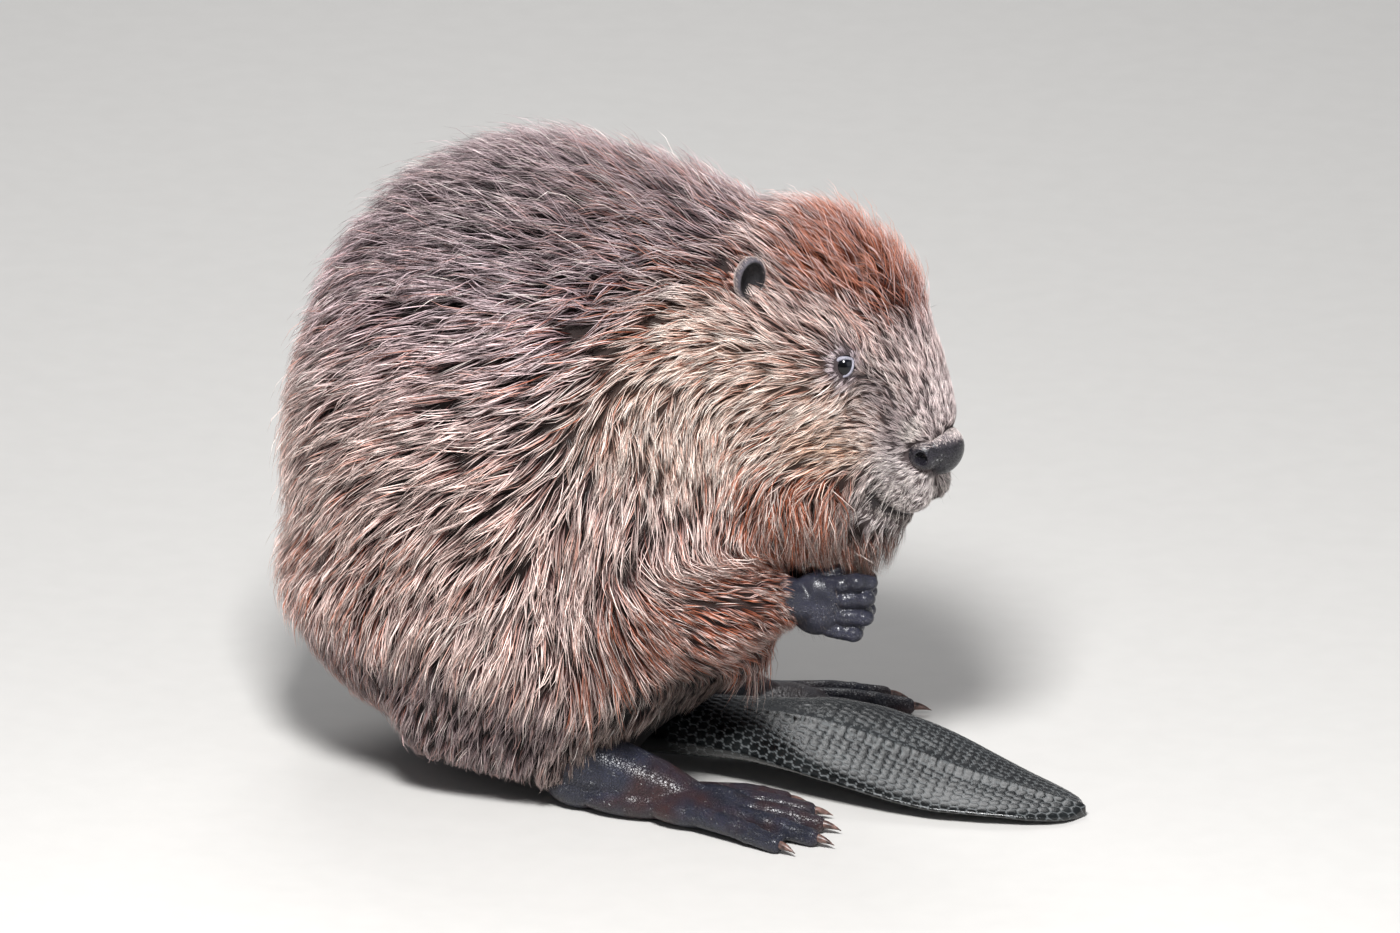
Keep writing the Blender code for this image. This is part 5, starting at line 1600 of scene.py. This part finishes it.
def fur_material():
    made, tree, shader = new_material("guard_hair")
    masks = zone_masks(tree)
    along, strand_height, lock, _ = channels(tree, "tuft")
    levels = []
    for level, shade in enumerate(HAIR_SHADES["base"]):
        for zone in [zone for zone in HAIR_SHADES if zone != "base"]:
            shade = mixed(tree, shade, masks[zone], HAIR_SHADES[zone][level])
        levels.append(shade)
    # The pale tip starts nearer the root on upper strands than on lower ones: painted light by height
    reach = calc(tree, "ADD", along, calc(tree, "MULTIPLY_ADD", strand_height, 0.6, -0.22))
    colour = mixed(tree, levels[0], span(tree, along, 0.04, 0.38), levels[1])
    colour = mixed(tree, colour, span(tree, reach, 0.32, 0.95), levels[2])
    # A strand's height in its lock sets its value: lower strands darker as painted shade, upper ones paler
    # as painted light
    lock_value, painted_height_shade = span(tree, lock, 0, 1, 0.58, 1.16), span(tree, strand_height, 0, 1, 0.33, 1.34)
    colour = shaded(tree, colour, calc(tree, "MULTIPLY", lock_value, painted_height_shade), 1.12)
    feed(tree, shader, {"Base Color": colour, "Roughness": 0.34, "IOR": 1.55})
    return made


fur = fur_material()
print("guard hair nodes:", len(fur.node_tree.nodes))

# %% [markdown]
# Below the strands lies the underfur, a felt of hairs a hundredth of a millimetre thick that hides the
# skin. Hairs so fine can't be drawn, so a noise with features of 1.1 mm gives it a woolly, matt depth,
# roughness 0.85. The same masks colour it, so nothing else shows between the strands. Its colours are
# near black, partly the underfur's own colour and partly painted shade in the gaps between the strands.


# %% Underfur
def skin_material():
    made, tree, shader = new_material("underfur_and_skin")
    masks = zone_masks(tree)
    # Near black: partly the underfur's own colour, partly painted shade between the strands
    colour = "#1c100e"
    shades = {"rust": "#2b140d", "gold": "#3d2c25", "pale": "#4c4141", "dark": "#0c0809", "grey": "#3a3032"}
    for zone, shade in shades.items():
        colour = mixed(tree, colour, masks[zone], shade)
    fibres = noise(tree, 1.111, 4)
    colour = shaded(tree, colour, span(tree, fibres, 0, 1, 0.55, 1.45))
    feed(tree, shader, {"Base Color": colour, "Normal": bumped(tree, fibres, 0.6, 0.8), "Roughness": 0.85})
    return made


underfur = skin_material()
print("underfur nodes:", len(underfur.node_tree.nodes))

# %% [markdown]
# Bare skin is living leather, IOR near 1.5: pebbles a millimetre or two across, creases at the joints, and
# a dull shine where it is damp. Each crease between pebbles is painted darker, as painted shade, and each
# pebble has its own gloss, which gives the eye a moist surface. The skin's own pores are under 0.1 mm, too
# fine to show, so a grain of 0.4 mm stands for them. One maker draws them all: the nose is smoothest and
# wettest, roughness 0.22 under a thin wet coat, hands and feet are half dull, 0.32, lids 0.34 and ears dry,
# 0.60.

# %% Bare skin
# A wave texture's bands come back after this much of a unit
WAVE_PERIOD = 2 * math.pi / 20
GRAIN_MM, PATCH_MM, WARM_MM = 0.4167, 14.286, 35.71
# A crease's width as a share of a pebble, its painted shade and a pebble's value, and what grain and folds
# add to height
CREASE_WIDTH, PAINTED_CREASE_SHADE, PEBBLE_SHADE, GRAIN_HEIGHT, FOLD_HEIGHT = 0.12, 0.45, 1.1, 0.25, 1.4
# How much glossier or duller than its part a pebble may be
GLOSSIER, DULLER = 0.08, 0.12


def leather(name, dark, light, pebble_mm, roughness, depth_mm, warm=None, fold_mm=None, tops=None, wet=0.0):
    made, tree, shader = new_material(name)
    place = {"Vector": own_place(tree), "Scale": 1 / (pebble_mm * MM)}
    edges = add(tree, "TexVoronoi", place, feature="DISTANCE_TO_EDGE").outputs[0]
    cells = add(tree, "TexVoronoi", place).outputs[0]
    crease = span(tree, edges, 0, CREASE_WIDTH)
    colour = mixed(tree, dark, noise(tree, PATCH_MM, 6), light)
    if warm:
        colour = mixed(tree, colour, span(tree, noise(tree, WARM_MM, 3), 0.45, 0.7), warm)
    if tops:
        colour = mixed(tree, colour, channels(tree, "tops")[0], tops)
    height = calc(tree, "MULTIPLY_ADD", noise(tree, GRAIN_MM, 2), GRAIN_HEIGHT, crease)
    if fold_mm:
        waves = {"Vector": own_place(tree), "Scale": WAVE_PERIOD / (fold_mm * MM)}
        waves = {**waves, "Distortion": 3.5, "Detail": 3, "Detail Scale": 1.5}
        folds = add(tree, "TexWave", waves, bands_direction="X").outputs["Fac"]
        height = calc(tree, "MULTIPLY_ADD", folds, FOLD_HEIGHT, height)
    look = {
        # Creases between pebbles are darker: painted shade
        "Base Color": shaded(tree, colour, span(tree, crease, 0, 1, PAINTED_CREASE_SHADE, PEBBLE_SHADE)),
        "Normal": bumped(tree, height, 0.8, depth_mm),
        "Roughness": span(tree, cells, 0, 1, roughness - GLOSSIER, roughness + DULLER),
        "Coat Weight": wet,
        "Coat Roughness": 0.25,
    }
    feed(tree, shader, look)
    return made


nose_leather = leather("nose_leather", "#060509", "#33303a", 1.7, 0.22, 0.90, tops="#665d63", wet=0.25)
ear_leather = leather("ear_skin", "#08070a", "#1d1a20", 1.8, 0.60, 0.25, tops="#57525a")
hand_leather = leather("hand_skin", "#050609", "#3c3d4e", 1.6, 0.32, 0.32, fold_mm=16.336, wet=0.10)
foot_leather = leather("webbed_foot_skin", "#090a10", "#363848", 2.0, 0.32, 0.50, "#3a2626", fold_mm=20.106)
lid_leather = leather("lid_rim", "#74737f", "#aaa7b4", 0.9, 0.34, 0.10)
print("nose leather nodes:", len(nose_leather.node_tree.nodes))

# %% [markdown]
# The eyeball is a wet, dark sphere: a near-black iris with a black pupil, under a cornea of IOR 1.38. Its
# roughness of 0.10 under a clear coat gives one small, sharp glint, and that is what makes it look alive.
# Claws are horn, keratin again at IOR 1.54, half polished by use at roughness 0.36, and clouded along
# their length in features of about 4 mm. Whiskers are the same horn, drawn pale or dark hair by hair.


# %% Eye, claw and whisker
def eye_material(centre, aim):
    """Iris and pupil drawn by the distance along the eye's axis."""
    made, tree, shader = new_material("dark_eye")
    offset = add(tree, "VectorMath", {0: own_place(tree), 1: centre}, operation="SUBTRACT").outputs[0]
    facing = add(tree, "VectorMath", {0: offset, 1: aim}, operation="DOT_PRODUCT").outputs["Value"]
    colour = mixed(tree, "#0d0f16", span(tree, facing, 0.80 * EYEBALL, 0.92 * EYEBALL), "#020203")
    wet = {"Roughness": 0.10, "IOR": 1.38, "Coat Weight": 0.25, "Coat Roughness": 0.03}
    feed(tree, shader, {"Base Color": colour, **wet})
    return made


def claw_material():
    made, tree, shader = new_material("claw_horn")
    streaks = noise(tree, 3.846, 5)
    colour = mixed(tree, "#2c1d1b", span(tree, streaks, 0.35, 0.68), "#86675e")
    normal = bumped(tree, streaks, 0.35, 0.3)
    feed(tree, shader, {"Base Color": colour, "Normal": normal, "Roughness": 0.36, "IOR": 1.54})
    return made


def whisker_material():
    made, tree, shader = new_material("whisker_bristle")
    dark = calc(tree, "GREATER_THAN", channels(tree, "tuft")[1], 0.55)
    feed(tree, shader, {"Base Color": mixed(tree, "#d9d0ca", dark, "#2a211f"), "Roughness": 0.35})
    return made


# %% [markdown]
# The tail's scales are hard, dark keratin polished by wear, roughness 0.17, so they catch a greenish grey
# light from the sky, while the skin between them is paler and dull, 0.50. Patches of dried dust about
# 33 mm wide break the gloss. The scales' own grain is finer than 0.1 mm and is drawn at 0.6 mm.


# %% Tail scales
def tail_material():
    made, tree, shader = new_material("tail_scale")
    groove, tag = channels(tree, "scales")[:2]
    colour = mixed(tree, "#020203", tag, "#0b0d0e")
    colour = mixed(tree, colour, span(tree, noise(tree, 33.33, 5), 0.40, 0.75, 0, 0.28), "#3c4142")
    colour = mixed(tree, colour, span(tree, groove, 0, 1, 0, 0.38), "#8d9294")
    normal = bumped(tree, noise(tree, 0.5556, 3), 0.35, 0.3)
    gloss = span(tree, groove, 0, 1, 0.17, 0.50)
    feed(tree, shader, {"Base Color": colour, "Normal": normal, "Roughness": gloss})
    return made


# %% [markdown]
# ## Dressing the frame
# Each piece is moved by the frame's shift, takes its finish, rides on the body and hides the solids it
# stands for. The coat, lids and whiskers hide none, because they lie over pieces that do.


# %% Place every piece
def dress(obj, name, finish, nodes=()):
    obj.name = obj.data.name = name
    obj.data.transform(Matrix.Translation(SHIFT))
    obj.data.materials.clear()
    obj.data.materials.append(finish)
    if nodes:
        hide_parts(*nodes)
    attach(obj, "root")


LIMBS = [f"{part}_{name}" for part in ("arm", "thigh") for name in SIDES]
dress(skin, "skin", underfur, ["head", "neck", "torso", "tail_root", *LIMBS])
for piece in [*coat_pieces, fuzz]:
    dress(piece, piece.name, fur)
dress(whiskers, "whiskers", whisker_material())
dress(nose, "nose_pad", nose_leather, ["nose"])
dress(tail, "tail_skin", tail_material(), ["tail"])
for name, side in SIDES.items():
    aim = HEAD.to_3x3() @ gaze(side).to_3x3() @ Vector((0, 1, 0))
    centre = HEAD @ flip(EYE_AT - EYE_SUNK, side) + SHIFT
    dress(eyes[name], f"eyeball_{name}", eye_material(centre, aim), [f"eye_{name}"])
    dress(lids[name], f"lids_{name}", lid_leather)
    dress(ears[name], f"ear_cup_{name}", ear_leather, [f"ear_{name}"])
    dress(hands[name], f"forepaw_{name}", hand_leather, [f"hand_{name}"])
    dress(feet[name], f"hind_foot_{name}", foot_leather, [f"foot_{name}"])
horn = claw_material()
for node, obj in claws.items():
    dress(obj, node.replace("claw", "horn"), horn, [node])

# %% [markdown]
# ## Studio
# A floor of pale, matt paper runs far behind the animal. One soft light stands high above the camera, a
# weaker one to the right, one behind for the outline, and a pale sky is all round. The picture is shown
# without a film curve, so that a colour picked for a hair comes out as picked.

# %% Floor and lights
# Azimuth and elevation in degrees, distance and size in metres, and watts
LIGHTS = {"key": (8, 50, 2.6, 0.55, 112), "fill": (60, 22, 3.0, 2.0, 12), "rim": (200, 45, 3.0, 1.6, 34)}
FLOOR_SIZE, AIM_HEIGHT = 30, Vector((0, 0, 0.2))
SKY_COLOUR, SKY_STRENGTH = "#dfe3ea", 0.24


def stage_floor():
    bm = bmesh.new()
    bmesh.ops.create_grid(bm, x_segments=1, y_segments=1, size=FLOOR_SIZE)
    floor = mesh_object("studio_floor", bm)
    made, tree, shader = new_material("studio_paper")
    paper = mixed(tree, "#c6c4c1", noise(tree, 25, 3), "#cccac7")
    feed(tree, shader, {"Base Color": paper, "Roughness": 0.9})
    floor.data.materials.append(made)


stage_floor()
for name, (azimuth, elevation, distance, size, power) in LIGHTS.items():
    data = bpy.data.lights.new(name, "AREA")
    data.energy, data.size = power, size
    out = outward(azimuth, elevation)
    look_from(placed(name, data), out, out * distance + AIM_HEIGHT)
bpy.context.scene.view_settings.view_transform = "Standard"
world = bpy.data.worlds.new("studio_sky")
world.use_nodes = True
feed(world.node_tree, world.node_tree.nodes["Background"], {0: SKY_COLOUR, 1: SKY_STRENGTH})
bpy.context.scene.world = world
print("lights:", len(LIGHTS))

# %% [markdown]
# Last, the view layer is updated, so that every dressed piece stands where it was placed.

# %% The end
bpy.context.view_layer.update()
